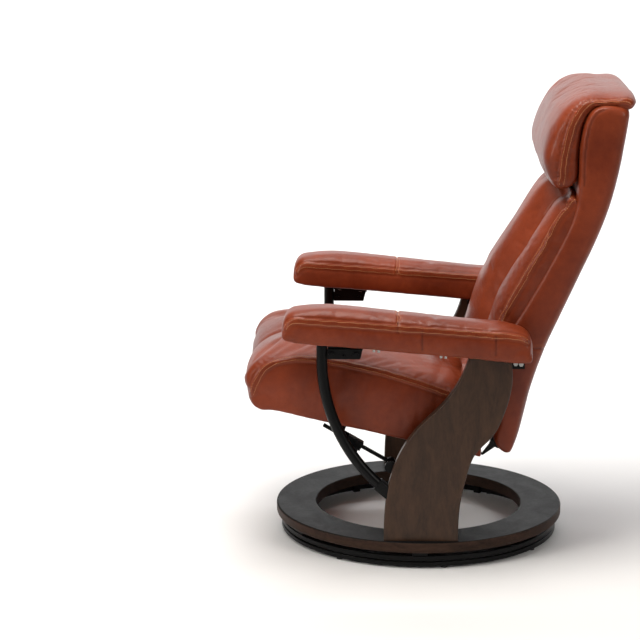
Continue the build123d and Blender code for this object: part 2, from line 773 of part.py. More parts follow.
shell_inside_rear = [(u - shell_wall * 1.15, v) for u, v in shell_rear[1:-1]]

with BuildPart() as back_shell:
    with BuildSketch(hip):
        with BuildLine():
            Spline(*shell_rear)
            Spline(*shell_top)
            Spline(*shell_front_top)
            Spline(*shell_front)
            Spline(*shell_low_front)
        make_face()
    extrude(amount=back_width / 2, both=True)
    # The hollow is open at the front below the headrest, and at the bottom.
    with BuildSketch(hip):
        with BuildLine():
            rear = Spline(*shell_inside_rear, (250, 584))
            top = Polyline(rear @ 1, (248, 608), (215, 611), (186, 600), (171, 545), (168, 462))
            Polyline(top @ 1, (120, 449), (-90, 40), (-60, -170), rear @ 0)
        make_face()
    extrude(amount=back_width / 2 - shell_wall, both=True, mode=Mode.SUBTRACT)
    with BuildSketch(hip):
        Circle(pin_d / 2 + 3)
    extrude(amount=back_width, both=True, mode=Mode.SUBTRACT)
    lean = radians(headrest_lean_deg)
    rod_foot = (215, 500)                                 # rods' lower ends, from the recline pivot
    rod_plane = Plane(
        origin=(0, hip_y + rod_foot[0], hip_z + rod_foot[1]), x_dir=(1, 0, 0), z_dir=(0, sin(lean), cos(lean))
    )
    with BuildSketch(rod_plane):
        with Locations((headrest_rod_x, 0), (-headrest_rod_x, 0)):
            Circle(headrest_rod_d / 2 + 3)
    extrude(amount=160, mode=Mode.SUBTRACT)
save(back_shell.part, "back_shell")

guide_length = 60
guide_top = 124             # guide's top above the rods' lower ends
with BuildPart() as headrest_guides:
    with BuildSketch(rod_plane.offset(guide_top - guide_length)):
        with Locations((headrest_rod_x, 0), (-headrest_rod_x, 0)):
            Circle(headrest_rod_d / 2 + 3)
            Circle(headrest_rod_d / 2 + pin_clearance, mode=Mode.SUBTRACT)
    extrude(amount=guide_length)
save(headrest_guides.part, "headrest_guides")

# Front cushion of the back: lumbar curve in front, the shell's front line behind.
pad_front = ((-90, 10), (-82, 60), (-68, 110), (-58, 150), (-39, 206), (-10, 262), (34, 330), (72, 396), (94, 430))
pad_back = ((155, 441), *shell_front[1:-1])
with BuildPart() as back_pad:
    with BuildSketch(hip):
        with BuildLine():
            front = Spline(*pad_front)
            back = Spline(*[(u - shell_clearance, v) for u, v in pad_back])
            Line(front @ 1, back @ 0)
            Line(back @ 1, front @ 0)
        make_face()
    extrude(amount=back_width / 2 - 5, both=True)
save(back_pad.part, "back_pad")

# ---- head pillow --------------------------------------------------------------------------
pillow_out = (
    (112, 442), (90, 468), (76, 503), (78, 538), (88, 573), (106, 608), (130, 634),
    (167, 651), (207, 656), (247, 656), (272, 651), (282, 641),
)
pillow_in = (
    (282, 641), (278, 627), (266, 622), (250, 627), (215, 630), (188, 626),
    (171, 612), (160, 586), (153, 543), (151, 510), (147, 478), (138, 458), (125, 446), (112, 442),
)
rod_top = 146
with BuildPart() as headrest_rods:
    with BuildSketch(rod_plane):
        with Locations((headrest_rod_x, 0), (-headrest_rod_x, 0)):
            Circle(headrest_rod_d / 2)
    extrude(amount=rod_top)
save(headrest_rods.part, "headrest_rods")

with BuildPart() as head_pillow:
    with BuildSketch(hip):
        with BuildLine():
            Spline(*pillow_out)
            Spline(*pillow_in)
        make_face()
    extrude(amount=pillow_width / 2, both=True)
    add(headrest_rods.part, mode=Mode.SUBTRACT)
save(head_pillow.part, "head_pillow")

# ---- seat ---------------------------------------------------------------------------------
seat_front = (
    (-565, -12), (-574, 8), (-570, 33), (-556, 53), (-528, 70), (-488, 80), (-444, 84), (-378, 78),
    (-291, 61), (-203, 38), (-138, 16), (-93, 0), (-42, -17),
)
board_t = 15
board_front_y = -345
board_rear_y = 118
seat_low_front = ((-565, -12), (-560, -28), (-550, -42), (-535, -52))


def seat_under(u, lift=0):
    """Point on the seat's underside from the pivot, lifted square to it."""
    a = radians(seat_slope_deg)
    return (u + lift * sin(a), seat_under_z(hip_y + u) - hip_z + lift * cos(a))


with BuildPart() as seat_board:
    with BuildSketch(hip):
        with BuildLine():
            u1 = board_front_y - hip_y
            u2 = board_rear_y - hip_y
            Polyline(seat_under(u1), seat_under(u2), seat_under(u2, board_t), seat_under(u1, board_t), close=True)
        make_face()
    extrude(amount=seat_width / 2 - 25, both=True)
save(seat_board.part, "seat_board")

with BuildPart() as seat_cushion:
    with BuildSketch(hip):
        with BuildLine():
            top = Spline(*seat_front)
            nose = Spline(*seat_low_front)
            under = Line(nose @ 1, seat_under(-515))
            base = Line(under @ 1, seat_under(-42))
            Line(base @ 1, top @ 1)
        make_face()
    extrude(amount=seat_width / 2, both=True)
    add(seat_board.part, mode=Mode.SUBTRACT)
save(seat_cushion.part, "seat_cushion")

for label, side in SIDES:
    with BuildPart() as runner:
        with BuildSketch(seat_plane(side * rail_x, runner_mid_y)):
            with Locations((0, -(rail_drop + rail_clearance + runner_wall) / 2)):
                Rectangle(runner_length, rail_drop + rail_clearance + runner_wall)
        extrude(amount=rail_w / 2 + rail_clearance + runner_wall, both=True)
        with BuildSketch(seat_plane(side * rail_x, runner_mid_y)):
            with Locations((0, -runner_wall - rail_clearance - rail_h / 2)):
                Rectangle(runner_length + 2, rail_h + 2 * rail_clearance)
        extrude(amount=rail_w / 2 + rail_clearance, both=True, mode=Mode.SUBTRACT)
        with BuildSketch(seat_plane(side * rail_x, runner_mid_y)):
            with Locations((0, -rail_drop - 4)):
                Rectangle(runner_length + 2, 10)
        extrude(amount=rail_w / 2 - runner_lip, both=True, mode=Mode.SUBTRACT)
    save(runner.part, f"seat_runner_{label}")

    # Slotted plate behind the seat: the back frame's pin pushes it along the rails.
    with BuildPart() as yoke_plate:
        with BuildSketch(hip.offset(side * (yoke_plate_x - yoke_plate_t / 2))):
            with BuildLine():
                py, pz = yoke_pin
                Polyline(
                    seat_under(-110),
                    seat_under(-40),
                    (py - 20, pz - 8),
                    (py - 13, pz + 13),
                    (py + 13, pz + 13),
                    (py + 13, pz - 13),
                    (py - 8, pz - 15),
                    seat_under(-38, -5),
                    seat_under(-110, -8),
                    close=True,
                )
            make_face()
            with Locations(Location(yoke_pin, -seat_slope_deg)):
                with Locations(Location((0, 0), 90)):
                    SlotCenterToCenter(2 * yoke_stroke, yoke_pin_d + 2 * yoke_play, mode=Mode.SUBTRACT)
        extrude(amount=yoke_plate_t / 2, both=True)
    save(yoke_plate.part, f"yoke_plate_{label}")

# ---- strut with its friction clamp --------------------------------------------------------
ru = (-cos(rod_slope), sin(rod_slope))                    # along the rod, away from its eye
rn = (sin(rod_slope), cos(rod_slope))                     # square to the rod, upwards
eye = (rod_eye_y, rod_eye_z)


def on_rod(along, up=0):
    """Point at a distance along the rod from its eye, and square to it."""
    return (eye[0] + along * ru[0] + up * rn[0], eye[1] + along * ru[1] + up * rn[1])


eye_d = 22
eye_w = 12
eye_bore_d = 10
lug_screw_d = 5
lug_screws_at = [(-36, eye[1] - 13), (-26, eye[1] + 1)]
with BuildPart() as strut_lug:
    with BuildSketch(side_plane(leg_inner - lug_t / 2)):
        with BuildLine():
            Polyline((eye[0] - 9, eye[1] - 9), (-34, eye[1] - 28), (-16, eye[1] + 2), (eye[0], eye[1] + 12), close=True)
        make_face()
        with Locations(eye):
            Circle(13)
        with Locations(*lug_screws_at):
            Circle(lug_screw_d / 2 + 0.1, mode=Mode.SUBTRACT)
    extrude(amount=lug_t / 2, both=True)
    with BuildSketch(side_plane(leg_inner - lug_t)):
        with Locations(eye):
            Circle(eye_bore_d / 2)
    extrude(amount=-(leg_inner - lug_t - strut_x + eye_w / 2 + 3))
    with BuildSketch(side_plane(leg_inner - lug_t)):
        with Locations(eye):
            Circle(eye_bore_d / 2 + 3)
    extrude(amount=-(leg_inner - lug_t - strut_x - eye_w / 2 - 0.5))
save(strut_lug.part, "strut_lug")

with BuildPart() as lug_screws:
    add(hex_bolts(leg_inner - lug_t, -1, lug_screws_at, lug_screw_d, lug_t + 16, 3))
save(lug_screws.part, "lug_screws")

with BuildPart() as strut_rod:
    with BuildSketch(side_plane(strut_x)):
        with Locations(eye):
            Circle(eye_d / 2)
    extrude(amount=eye_w / 2, both=True)
    rod_end = Plane(origin=(strut_x, *on_rod(0)), x_dir=(1, 0, 0), z_dir=(0, *ru))
    with BuildSketch(rod_end):
        Circle(rod_d / 2)
    extrude(amount=rod_length)
    with BuildSketch(side_plane(strut_x)):
        with Locations(eye):
            Circle(eye_bore_d / 2 + pin_clearance)
    extrude(amount=eye_w, both=True, mode=Mode.SUBTRACT)
save(strut_rod.part, "strut_rod")

hinge_pin_d = 8
knob_stem_d = 8
ear_t = 6
ear_x = strut_x - clamp_width / 2 - ear_t / 2 + 4
with BuildPart() as strut_clamp:
    middle = Plane(origin=(strut_x, *on_rod(clamp_distance)), x_dir=(1, 0, 0), z_dir=(0, *ru))
    with BuildSketch(middle.offset(-clamp_length / 2)):
        RectangleRounded(clamp_width, clamp_height, 3)
        Circle(rod_d / 2 + rod_play, mode=Mode.SUBTRACT)
    extrude(amount=clamp_length)
    with BuildSketch(side_plane(ear_x)):
        with BuildLine():
            Polyline(
                on_rod(clamp_distance, -9),
                on_rod(hanger_distance, -9),
                on_rod(hanger_distance, 9),
                on_rod(clamp_distance, 9),
                close=True,
            )
        make_face()
        with Locations(on_rod(hanger_distance)):
            Circle(9)
            Circle(hinge_pin_d / 2 + pin_clearance, mode=Mode.SUBTRACT)
    extrude(amount=ear_t / 2, both=True)
    knob_plane = Plane(origin=(strut_x, *on_rod(clamp_distance)), x_dir=(1, 0, 0), z_dir=(0, -rn[0], -rn[1]))
    with BuildSketch(knob_plane.offset(rod_d / 2)):
        Circle(knob_stem_d / 2 + 0.05)
    extrude(amount=clamp_height, mode=Mode.SUBTRACT)
save(strut_clamp.part, "strut_clamp")

knob_d = 32
knob_h = 14
with BuildPart() as lock_knob:
    with BuildSketch(knob_plane.offset(rod_d / 2 + 1.5)):
        Circle(knob_stem_d / 2)
    extrude(amount=clamp_height / 2)
    with BuildSketch(knob_plane.offset(clamp_height / 2 + 1)):
        Circle(knob_d / 2)
        with PolarLocations(knob_d / 2 + 1, 8):
            Circle(3, mode=Mode.SUBTRACT)
    extrude(amount=knob_h)
    fillet(lock_knob.faces().sort_by(lambda f: f.center().Z)[0].edges(), 1.5)
save(lock_knob.part, "lock_knob")

# Hanger under the seat board carries the clamp's hinge pin.
hanger_x = ear_x - ear_t - 0.5
with BuildPart() as clamp_hanger:
    hy, hz = on_rod(hanger_distance)
    with BuildSketch(side_plane(hanger_x)):
        with BuildLine():
            Polyline(
                (hy - 14, seat_under_z(hy - 14)),
                (hy + 14, seat_under_z(hy + 14)),
                (hy + 8, hz),
                (hy - 8, hz),
                close=True,
            )
        make_face()
        with Locations((hy, hz)):
            Circle(8)
    extrude(amount=ear_t / 2, both=True)
    with BuildSketch(side_plane(hanger_x)):
        with Locations((hy, hz)):
            Circle(hinge_pin_d / 2)
    extrude(amount=ear_x - hanger_x + ear_t / 2 + 0.5)
save(clamp_hanger.part, "clamp_hanger")

# The left leg takes the lug's screws; both take the plates' and cross tubes' screws.
for label, side in SIDES:
    with BuildPart() as finished_leg:
        add(legs[label])
        holes = [(plate_bolts_leg, plate_bolt_d, 17), (end_screws_at, end_screw_d, 19)]
        if side > 0:
            holes.append((lug_screws_at, lug_screw_d, 17))
        for places, d, depth in holes:
            with BuildSketch(side_plane(side * (leg_inner - 1))):
                with Locations(*places):
                    Circle(d / 2 + 0.1)
            extrude(amount=side * (depth + 1), mode=Mode.SUBTRACT)
    save(finished_leg.part, f"leg_{label}")
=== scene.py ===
"""Upholstery, finishes, camera and light for the swivel recliner armchair.

Everything is in metres in the chair's own frame: +Z up, the chair faces -Y, the swivel axis is Z.
Side views are written as (u, v): u behind the recline pivot, v above it, in millimetres.
"""
import json
import math

import bmesh
import bpy
import numpy as np
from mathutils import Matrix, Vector


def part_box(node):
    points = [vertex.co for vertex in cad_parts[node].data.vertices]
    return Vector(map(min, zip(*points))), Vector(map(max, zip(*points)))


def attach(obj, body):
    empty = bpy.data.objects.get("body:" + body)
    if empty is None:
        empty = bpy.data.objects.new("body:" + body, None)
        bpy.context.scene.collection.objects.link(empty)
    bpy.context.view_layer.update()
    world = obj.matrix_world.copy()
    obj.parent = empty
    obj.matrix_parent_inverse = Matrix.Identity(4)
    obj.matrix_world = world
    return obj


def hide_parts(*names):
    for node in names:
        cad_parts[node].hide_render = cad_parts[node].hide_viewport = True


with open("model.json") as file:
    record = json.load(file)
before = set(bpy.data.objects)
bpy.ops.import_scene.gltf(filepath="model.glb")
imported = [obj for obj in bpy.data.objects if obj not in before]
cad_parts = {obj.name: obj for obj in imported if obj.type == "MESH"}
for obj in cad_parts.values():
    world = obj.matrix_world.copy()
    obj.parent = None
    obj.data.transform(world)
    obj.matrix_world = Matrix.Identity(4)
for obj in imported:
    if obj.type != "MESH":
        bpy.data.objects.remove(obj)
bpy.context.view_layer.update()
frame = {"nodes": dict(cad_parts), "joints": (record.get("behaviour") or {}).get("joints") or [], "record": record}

HIP = np.array(next(j for j in frame["joints"] if j["name"] == "recline")["pos_m"])
MM = 0.001


def half_width(node):
    """Half of a CAD node's width across the chair."""
    low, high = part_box(node)
    return (high.x - low.x) / 2


SEAT_HALF = half_width("seat_cushion")
BACK_HALF = half_width("back_shell")
PAD_HALF = half_width("back_pad")
PILLOW_HALF = half_width("head_pillow")
ARM_LOW, ARM_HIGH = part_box("arm_pad_left")
ARM_X = (ARM_LOW.x + ARM_HIGH.x) / 2
ARM_HALF = (ARM_HIGH.x - ARM_LOW.x) / 2


# ---- curves and numbers -------------------------------------------------------------------
def curve(points, count, closed=False):
    """Catmull-Rom curve through the points, at count places evenly spaced along it.

    Between b and c it is half of 2b + (c - a) t + (2a - 5b + 4c - d) t^2 + (3b - a - 3c + d) t^3.
    """
    p = np.asarray(points, float)
    if closed:
        ring = np.vstack([p[-1], p, p[0], p[1]])
    else:
        ring = np.vstack([2 * p[0] - p[1], p, 2 * p[-1] - p[-2]])
    t = np.linspace(0, 1, 24, endpoint=False)[:, None, None]
    a, b, c, d = ring[:-3], ring[1:-2], ring[2:-1], ring[3:]
    fine = 0.5 * (2 * b + (c - a) * t + (2 * a - 5 * b + 4 * c - d) * t**2 + (3 * b - a - 3 * c + d) * t**3)
    fine = fine.transpose(1, 0, 2).reshape(-1, p.shape[1])
    fine = np.vstack([fine, p[0] if closed else p[-1]])
    return spaced(fine, count, closed)


def spaced(line, count, closed=False):
    """The same line with count points, evenly spaced along its length."""
    run = np.r_[0, np.cumsum(np.linalg.norm(np.diff(line, axis=0), axis=1))]
    at = np.linspace(0, run[-1], count, endpoint=not closed)
    return np.stack([np.interp(at, run, line[:, k]) for k in range(line.shape[1])], axis=1)


def smoothstep(low, high, x):
    """0 below low, 1 above high, and an even S between."""
    t = np.clip((x - low) / (high - low), 0, 1)
    return t * t * (3 - 2 * t)


def hump(x, middle, width):
    """A bell of height 1 about the middle."""
    return np.exp(-(((x - middle) / width) ** 2))


def waves(points, scale, seed, octaves=3):
    """Smooth pseudo-random field from -1 to 1: a sum of sines along random directions."""
    rng = np.random.default_rng(seed)
    out = np.zeros(len(points))
    total = 0
    for k in range(octaves):
        for _ in range(5):
            direction = rng.normal(size=3)
            direction *= 2 * math.pi * 1.8**k / (scale * np.linalg.norm(direction))
            out += np.sin(points @ direction + rng.uniform(0, 2 * math.pi)) / 1.7**k
        total += 5 / 1.7**k
    return out / (0.45 * total)


def nearest_on(line, points, chunk=20000):
    """For each point: its distance to the line's nearest vertex, and that vertex's number."""
    away = np.empty(len(points))
    which = np.empty(len(points), int)
    square = (line**2).sum(1)
    for start in range(0, len(points), chunk):
        part = points[start:start + chunk]
        d2 = (part**2).sum(1)[:, None] + square - 2 * part @ line.T
        k = d2.argmin(1)
        which[start:start + chunk] = k
        away[start:start + chunk] = np.sqrt(np.maximum(d2[np.arange(len(part)), k], 0))
    return away, which


# ---- meshes -------------------------------------------------------------------------------
def new_piece(name, verts, faces, smooth=True):
    """A mesh object from arrays of corners and faces."""
    mesh = bpy.data.meshes.new(name)
    mesh.from_pydata(np.asarray(verts, float).tolist(), [], np.asarray(faces).tolist())
    mesh.update()
    piece = bpy.data.objects.new(name, mesh)
    bpy.context.scene.collection.objects.link(piece)
    if smooth:
        mesh.shade_smooth()
    return piece


def grid_faces(rows, cols, wrap_rows=False, wrap_cols=False):
    """Four-sided faces of a rows by cols grid of vertices, joined end to end where it wraps."""
    r = np.arange(rows if wrap_rows else rows - 1)
    c = np.arange(cols if wrap_cols else cols - 1)
    r, c = (a.ravel() for a in np.meshgrid(r, c, indexing="ij"))
    r2, c2 = (r + 1) % rows, (c + 1) % cols
    return np.stack([r * cols + c, r * cols + c2, r2 * cols + c2, r2 * cols + c], axis=1)


def coords(piece):
    """Vertex places of a piece as an array."""
    out = np.empty(len(piece.data.vertices) * 3)
    piece.data.vertices.foreach_get("co", out)
    return out.reshape(-1, 3)


def set_coords(piece, places):
    """Put the vertices of a piece at these places."""
    piece.data.vertices.foreach_set("co", np.asarray(places, float).ravel())
    piece.data.update()


def normals(piece):
    """Vertex normals of a piece as an array."""
    out = np.empty(len(piece.data.vertices) * 3)
    piece.data.vertex_normals.foreach_get("vector", out)
    return out.reshape(-1, 3)


def apply_modifiers(piece):
    """Make the mesh what its modifiers show, and drop them."""
    depsgraph = bpy.context.evaluated_depsgraph_get()
    mesh = bpy.data.meshes.new_from_object(piece.evaluated_get(depsgraph))
    piece.modifiers.clear()
    old = piece.data
    piece.data = mesh
    bpy.data.meshes.remove(old)
    piece.data.name = piece.name


def recalculate(piece):
    """Merge doubled corners and turn all faces outwards."""
    bm = bmesh.new()
    bm.from_mesh(piece.data)
    bmesh.ops.remove_doubles(bm, verts=bm.verts, dist=1e-5)
    bmesh.ops.recalc_face_normals(bm, faces=bm.faces)
    bm.to_mesh(piece.data)
    bm.free()
    piece.data.shade_smooth()


def set_attribute(piece, name, values):
    """A number for each vertex, which the leather reads."""
    attribute = piece.data.attributes.get(name) or piece.data.attributes.new(name, "FLOAT", "POINT")
    attribute.data.foreach_set("value", np.asarray(values, np.float32))


# ---- padded forms -------------------------------------------------------------------------
PIN_STEPS = 20


def across(half, shoulder, body_rows=44, shoulder_rows=9, cap_rows=9):
    """Rows across a cushion: place across, share of the shoulder's turn, share of the end cap.

    The body runs straight, the shoulder is a quarter ellipse, and the cap draws in to the spine.
    """
    body = np.linspace(-1, 1, body_rows) * (half - shoulder)
    turn = np.linspace(0, math.pi / 2, shoulder_rows + 1)[1:]
    x_turn = half - shoulder + shoulder * np.sin(turn)
    cap = np.linspace(0, 1, cap_rows + 1)[1:]
    x = np.r_[-np.full(cap_rows, half), -x_turn[::-1], body, x_turn, np.full(cap_rows, half)]
    bend = 1 - np.cos(turn)
    s = np.r_[np.ones(cap_rows), bend[::-1], np.zeros(body_rows), bend, np.ones(cap_rows)]
    c = np.r_[cap[::-1], np.zeros(2 * shoulder_rows + body_rows), cap]
    return x, s, c


def cushion_form(name, outline, spine, half, shoulder, inset, relief, bulge=0.0, middle=0.0):
    """Closed padded form from a side view.

    Row by row across the width the outline is moved towards the nearest place on the spine: by the
    shoulder's share of inset, then by the cap's share of what is left. Relief(x, n) pushes each point
    out along the outline's own normal, and bulge swells the two flat ends.
    """
    p = np.asarray(outline) * MM
    s = np.asarray(spine) * MM
    dense = spaced(s, 200)
    away, which = nearest_on(dense, p)
    inward = (dense[which] - p) / np.maximum(away, 1e-6)[:, None]
    tangent = np.roll(p, -1, axis=0) - np.roll(p, 1, axis=0)
    outward = np.stack([tangent[:, 1], -tangent[:, 0]], axis=1)
    outward /= np.linalg.norm(outward, axis=1)[:, None]
    outward *= np.sign(-(outward * inward).sum(1).mean())
    x, turn, cap = across(half, shoulder)
    first = np.minimum(np.asarray(inset) * MM, away * 0.9)
    push = turn[:, None] * first + cap[:, None] * (away - turn[:, None] * first)
    lift = relief(x[:, None], np.arange(len(p))[None, :]) * MM * (1 - cap[:, None])
    side = p[None] + inward[None] * push[..., None] + outward[None] * lift[..., None]
    edge = np.sign(x) * bulge * MM * (1 - (1 - cap) ** 2)
    place = np.empty((len(x), len(p), 3))
    place[..., 0] = (x + edge + middle)[:, None]
    place[..., 1:] = side + HIP[1:]
    rows, cols = place.shape[:2]
    return new_piece(name, place.reshape(-1, 3), grid_faces(rows, cols, wrap_cols=True))


def remesh(piece, size):
    """An even mesh of the same form, relaxed a little."""
    recalculate(piece)
    voxel = piece.modifiers.new("voxel", "REMESH")
    voxel.mode = "VOXEL"
    voxel.voxel_size = size
    relax = piece.modifiers.new("relax", "SMOOTH")
    relax.factor = 0.5
    relax.iterations = 6
    apply_modifiers(piece)


def stuff(piece, hold, reach, slack=0.004, pressure=4.0, frames=20):
    """Swell a cushion under pressure: hold pins vertices (1 is fixed), reach caps how far they go.

    The cover is slack by a small share of its length, so it folds beside what is held.
    """
    before = coords(piece)
    pins = piece.vertex_groups.new(name="hold")
    levels = np.round(np.clip(hold, 0, 1) * PIN_STEPS).astype(int)
    for level in range(1, PIN_STEPS + 1):
        members = np.nonzero(levels == level)[0]
        if len(members):
            pins.add(members.tolist(), level / PIN_STEPS, "REPLACE")
    cloth = piece.modifiers.new("cloth", "CLOTH")
    settings = cloth.settings
    settings.quality = 5
    settings.mass = 0.4
    settings.tension_stiffness = 25
    settings.compression_stiffness = 25
    settings.shear_stiffness = 12
    settings.bending_stiffness = 1.2
    settings.use_pressure = True
    settings.uniform_pressure_force = pressure
    settings.shrink_min = -slack
    settings.vertex_group_mass = "hold"
    settings.effector_weights.gravity = 0
    cloth.collision_settings.use_collision = False
    scene = bpy.context.scene
    cloth.point_cache.frame_start = 1
    cloth.point_cache.frame_end = frames
    for step in range(1, frames + 1):
        scene.frame_set(step)
    apply_modifiers(piece)
    scene.frame_set(1)
    moved = coords(piece) - before
    far = np.linalg.norm(moved, axis=1)
    limit = reach * MM * np.tanh(far / (reach * MM)) / np.maximum(far, 1e-9)
    set_coords(piece, before + moved * limit[:, None])


def refine(piece):
    """One level of subdivision."""
    sub = piece.modifiers.new("refine", "SUBSURF")
    sub.levels = sub.render_levels = 1
    apply_modifiers(piece)
    piece.data.shade_smooth()


# ---- seams and stitches -------------------------------------------------------------------
THREADS = []
STITCH_GAP = 4.5


def lay_on(line, piece, soften=3):
    """Move a line's points to the nearest vertices of a piece; returns places and normals."""
    verts, outs = coords(piece), normals(piece)
    _, which = nearest_on(verts, line)
    place, out = verts[which], outs[which]
    for _ in range(soften):
        place[1:-1] = (place[:-2] + 2 * place[1:-1] + place[2:]) / 4
        out[1:-1] = (out[:-2] + 2 * out[1:-1] + out[2:]) / 4
    return place, out / np.linalg.norm(out, axis=1)[:, None]


def along_line(piece, line, reach):
    """Vertices within reach of a line: their numbers, distance in millimetres and place along it."""
    verts = coords(piece)
    away, which = nearest_on(line, verts)
    near = np.nonzero(away < reach * MM)[0]
    run = np.r_[0, np.cumsum(np.linalg.norm(np.diff(line, axis=0), axis=1))]
    return near, away[near] / MM, run[which[near]], which[near]


def sew(piece, line, above, pucker=0.5, pitch=12, band=8, seed=1):
    """A lapped seam sewn with two rows: a flat raised strip, a line down its middle, gathers beside it.

    The strip is a plateau as wide as the two rows, the line and the rows are narrow bells pressed into
    it, and the gathers are waves along the seam that rise and die away outside the strip.
    """
    verts, outs = coords(piece), normals(piece)
    near, d, s, which = along_line(piece, line, 5 * band)
    side = ((verts[near] - line[which]) * np.asarray(above)).sum(1)
    w = waves(verts[near], 0.05, seed)
    gather = np.sin(2 * math.pi * s / (pitch * MM) + 2.2 * w) * (0.6 + 0.5 * w)
    gather += 0.5 * np.sin(2 * math.pi * s / (2.3 * pitch * MM) + 3 * w)
    lift = 1.3 * (1 - smoothstep(band - 2, band + 0.8, d))
    lift -= 1.1 * hump(d, 0, 1.4) + 0.7 * hump(d, STITCH_GAP, 1.5)
    lift -= 0.9 * hump(d, band + 2.5, 3.0)
    fade = (d / band) * np.exp(-((d / (1.7 * band)) ** 2))
    lift += pucker * np.where(side > 0, 1.0, 0.7) * gather * fade * 1.5
    verts[near] += outs[near] * (lift * MM)[:, None]
    set_coords(piece, verts)


def gutter(piece, line, depth, width, pucker, pitch, reach, seed=1):
    """A sunk line: a bell-shaped channel with slow gathers running out of it on both sides."""
    verts, outs = coords(piece), normals(piece)
    near, d, s, _ = along_line(piece, line, 4 * reach)
    w = waves(verts[near], 0.08, seed)
    gather = np.sin(2 * math.pi * s / (pitch * MM) + 2.5 * w) * (0.5 + 0.5 * w)
    lift = -depth * np.exp(-((d / width) ** 2))
    lift += pucker * gather * (d / reach) * np.exp(-((d / reach) ** 2)) * 2
    verts[near] += outs[near] * (lift * MM)[:, None]
    set_coords(piece, verts)


def stitch_row(piece, line, offset, above, pitch=5.4, length=4.0, radius=0.45, proud=0.25):
    """Stitches along a seam, offset to one side: each is a little capsule lying on the leather."""
    place, out = lay_on(line, piece)
    run = np.r_[0, np.cumsum(np.linalg.norm(np.diff(place, axis=0), axis=1))]
    count = max(int(run[-1] / (pitch * MM)), 2)
    place = spaced(place, count + 1)
    at = np.linspace(0, 1, count + 1)
    out = np.stack([np.interp(at, run / run[-1], out[:, k]) for k in range(3)], axis=1)
    along = np.gradient(place, axis=0)
    along /= np.linalg.norm(along, axis=1)[:, None]
    across_seam = np.cross(out, along)
    across_seam *= np.sign((across_seam * np.asarray(above)).sum(1))[:, None]
    place, out = lay_on(place + across_seam * offset * MM, piece, 1)
    THREADS.append((place, along, out, length * MM, radius * MM, proud * MM, piece.name))


def capsule(sides=6):
    """A unit stitch along x: three rings of corners and two tips, radius 1 and length 1."""
    ring = np.linspace(0, 2 * math.pi, sides, endpoint=False)
    xs = np.array([-0.36, 0.0, 0.36])
    size = np.array([0.8, 1.0, 0.8])
    up, out = np.outer(size, np.cos(ring)), np.outer(size, np.sin(ring))
    body = np.stack([np.repeat(xs, sides), up.ravel(), out.ravel()], axis=1)
    verts = np.vstack([body, [[-0.5, 0, 0], [0.5, 0, 0]]])
    quads = grid_faces(3, sides, wrap_cols=True)
    k = np.arange(sides)
    tips = np.stack([(k + 1) % sides, k, np.full(sides, 3 * sides)], axis=1)
    ends = np.stack([2 * sides + k, 2 * sides + (k + 1) % sides, np.full(sides, 3 * sides + 1)], axis=1)
    tris = np.vstack([tips, ends, quads[:, [0, 1, 2]], quads[:, [0, 2, 3]]])
    return verts, tris


def stitches_of(piece, name):
    """All the stitches of one piece as one mesh of capsules."""
    rows = [t for t in THREADS if t[6] == piece.name]
    unit, tris = capsule()
    verts, faces, start = [], [], 0
    for place, along, out, length, radius, proud, _ in rows:
        out = out - (out * along).sum(1)[:, None] * along
        out /= np.linalg.norm(out, axis=1)[:, None]
        side = np.cross(out, along)
        v = (
            place[:, None] + out[:, None] * proud
            + along[:, None] * unit[None, :, :1] * length
            + side[:, None] * unit[None, :, 1:2] * radius
            + out[:, None] * unit[None, :, 2:] * radius
        )
        verts.append(v.reshape(-1, 3))
        first = start + np.arange(len(place)) * len(unit)
        faces.append((tris[None] + first[:, None, None]).reshape(-1, 3))
        start += len(place) * len(unit)
    threads = new_piece(name, np.vstack(verts), np.vstack(faces))
    recalculate(threads)
    return threads


def shade_by(piece, sewn, sunk=()):
    """Store a value for the leather to colour by: lighter rubbed leather on the sewn strips, and painted shade in
    the stitch holes, beside the strips and in the channels.
    """
    verts = coords(piece)
    value = np.zeros(len(verts))
    for line in sewn:
        d = nearest_on(line, verts)[0] / MM
        # Lighter rubbed leather on the strip; painted shade on the seam line, in the stitch holes and in the dip
        # beside the strip.
        value += 0.3 * (1 - smoothstep(6, 15, d)) - 0.8 * hump(d, 0, 1.3)
        value -= 0.35 * hump(d, 10.5, 2.4) + 0.75 * hump(d, STITCH_GAP, 1.3)
    for line in sunk:
        d = nearest_on(line, verts)[0] / MM
        # Painted shade down the channel, with a faint lighter lip beside it.
        value += -0.9 * hump(d, 0, 2.0) + 0.08 * hump(d, 8, 5)
    set_attribute(piece, "rub_and_shade", value)


def side_line(points, x, count=160):
    """A line along the chair's side from side-view points, at a place x across the chair, in metres."""
    yz = curve(np.asarray(points, float) * MM, count)
    return np.column_stack([np.full(count, x), yz + HIP[1:]])


def mirrored(line):
    """The same line on the chair's other side."""
    return line * np.array([-1.0, 1.0, 1.0])


# ---- side views, in millimetres from the recline pivot -------------------------------------
SLOPE = math.tan(math.radians(12.5))


def under_seat(u):
    """Height of the seat's underside, which lies at the slope of its slide rails."""
    return -165.2 - u * SLOPE


SEAT_TOP = (
    (-565, -12), (-574, 8), (-570, 33), (-556, 53), (-528, 70), (-488, 80), (-444, 84), (-378, 78),
    (-291, 61), (-203, 38), (-138, 16), (-93, 0), (-42, -17),
)
SEAT_UNDER = (
    (-44, -90), (-42, under_seat(-42) + 3), *((u, under_seat(u)) for u in (-50, -200, -400, -500)),
    (-528, -53), (-548, -43), (-560, -28),
)
SEAT_SPINE = ((-480, 5), (-300, -30), (-120, -80))
SEAT_SEAM = (
    (-551, -12), (-545, 4), (-538, 20), (-527, 38), (-509, 54), (-488, 65), (-466, 71), (-444, 72),
    (-409, 71), (-356, 64), (-291, 49), (-225, 31), (-159, 9), (-126, -4), (-60, -26),
)

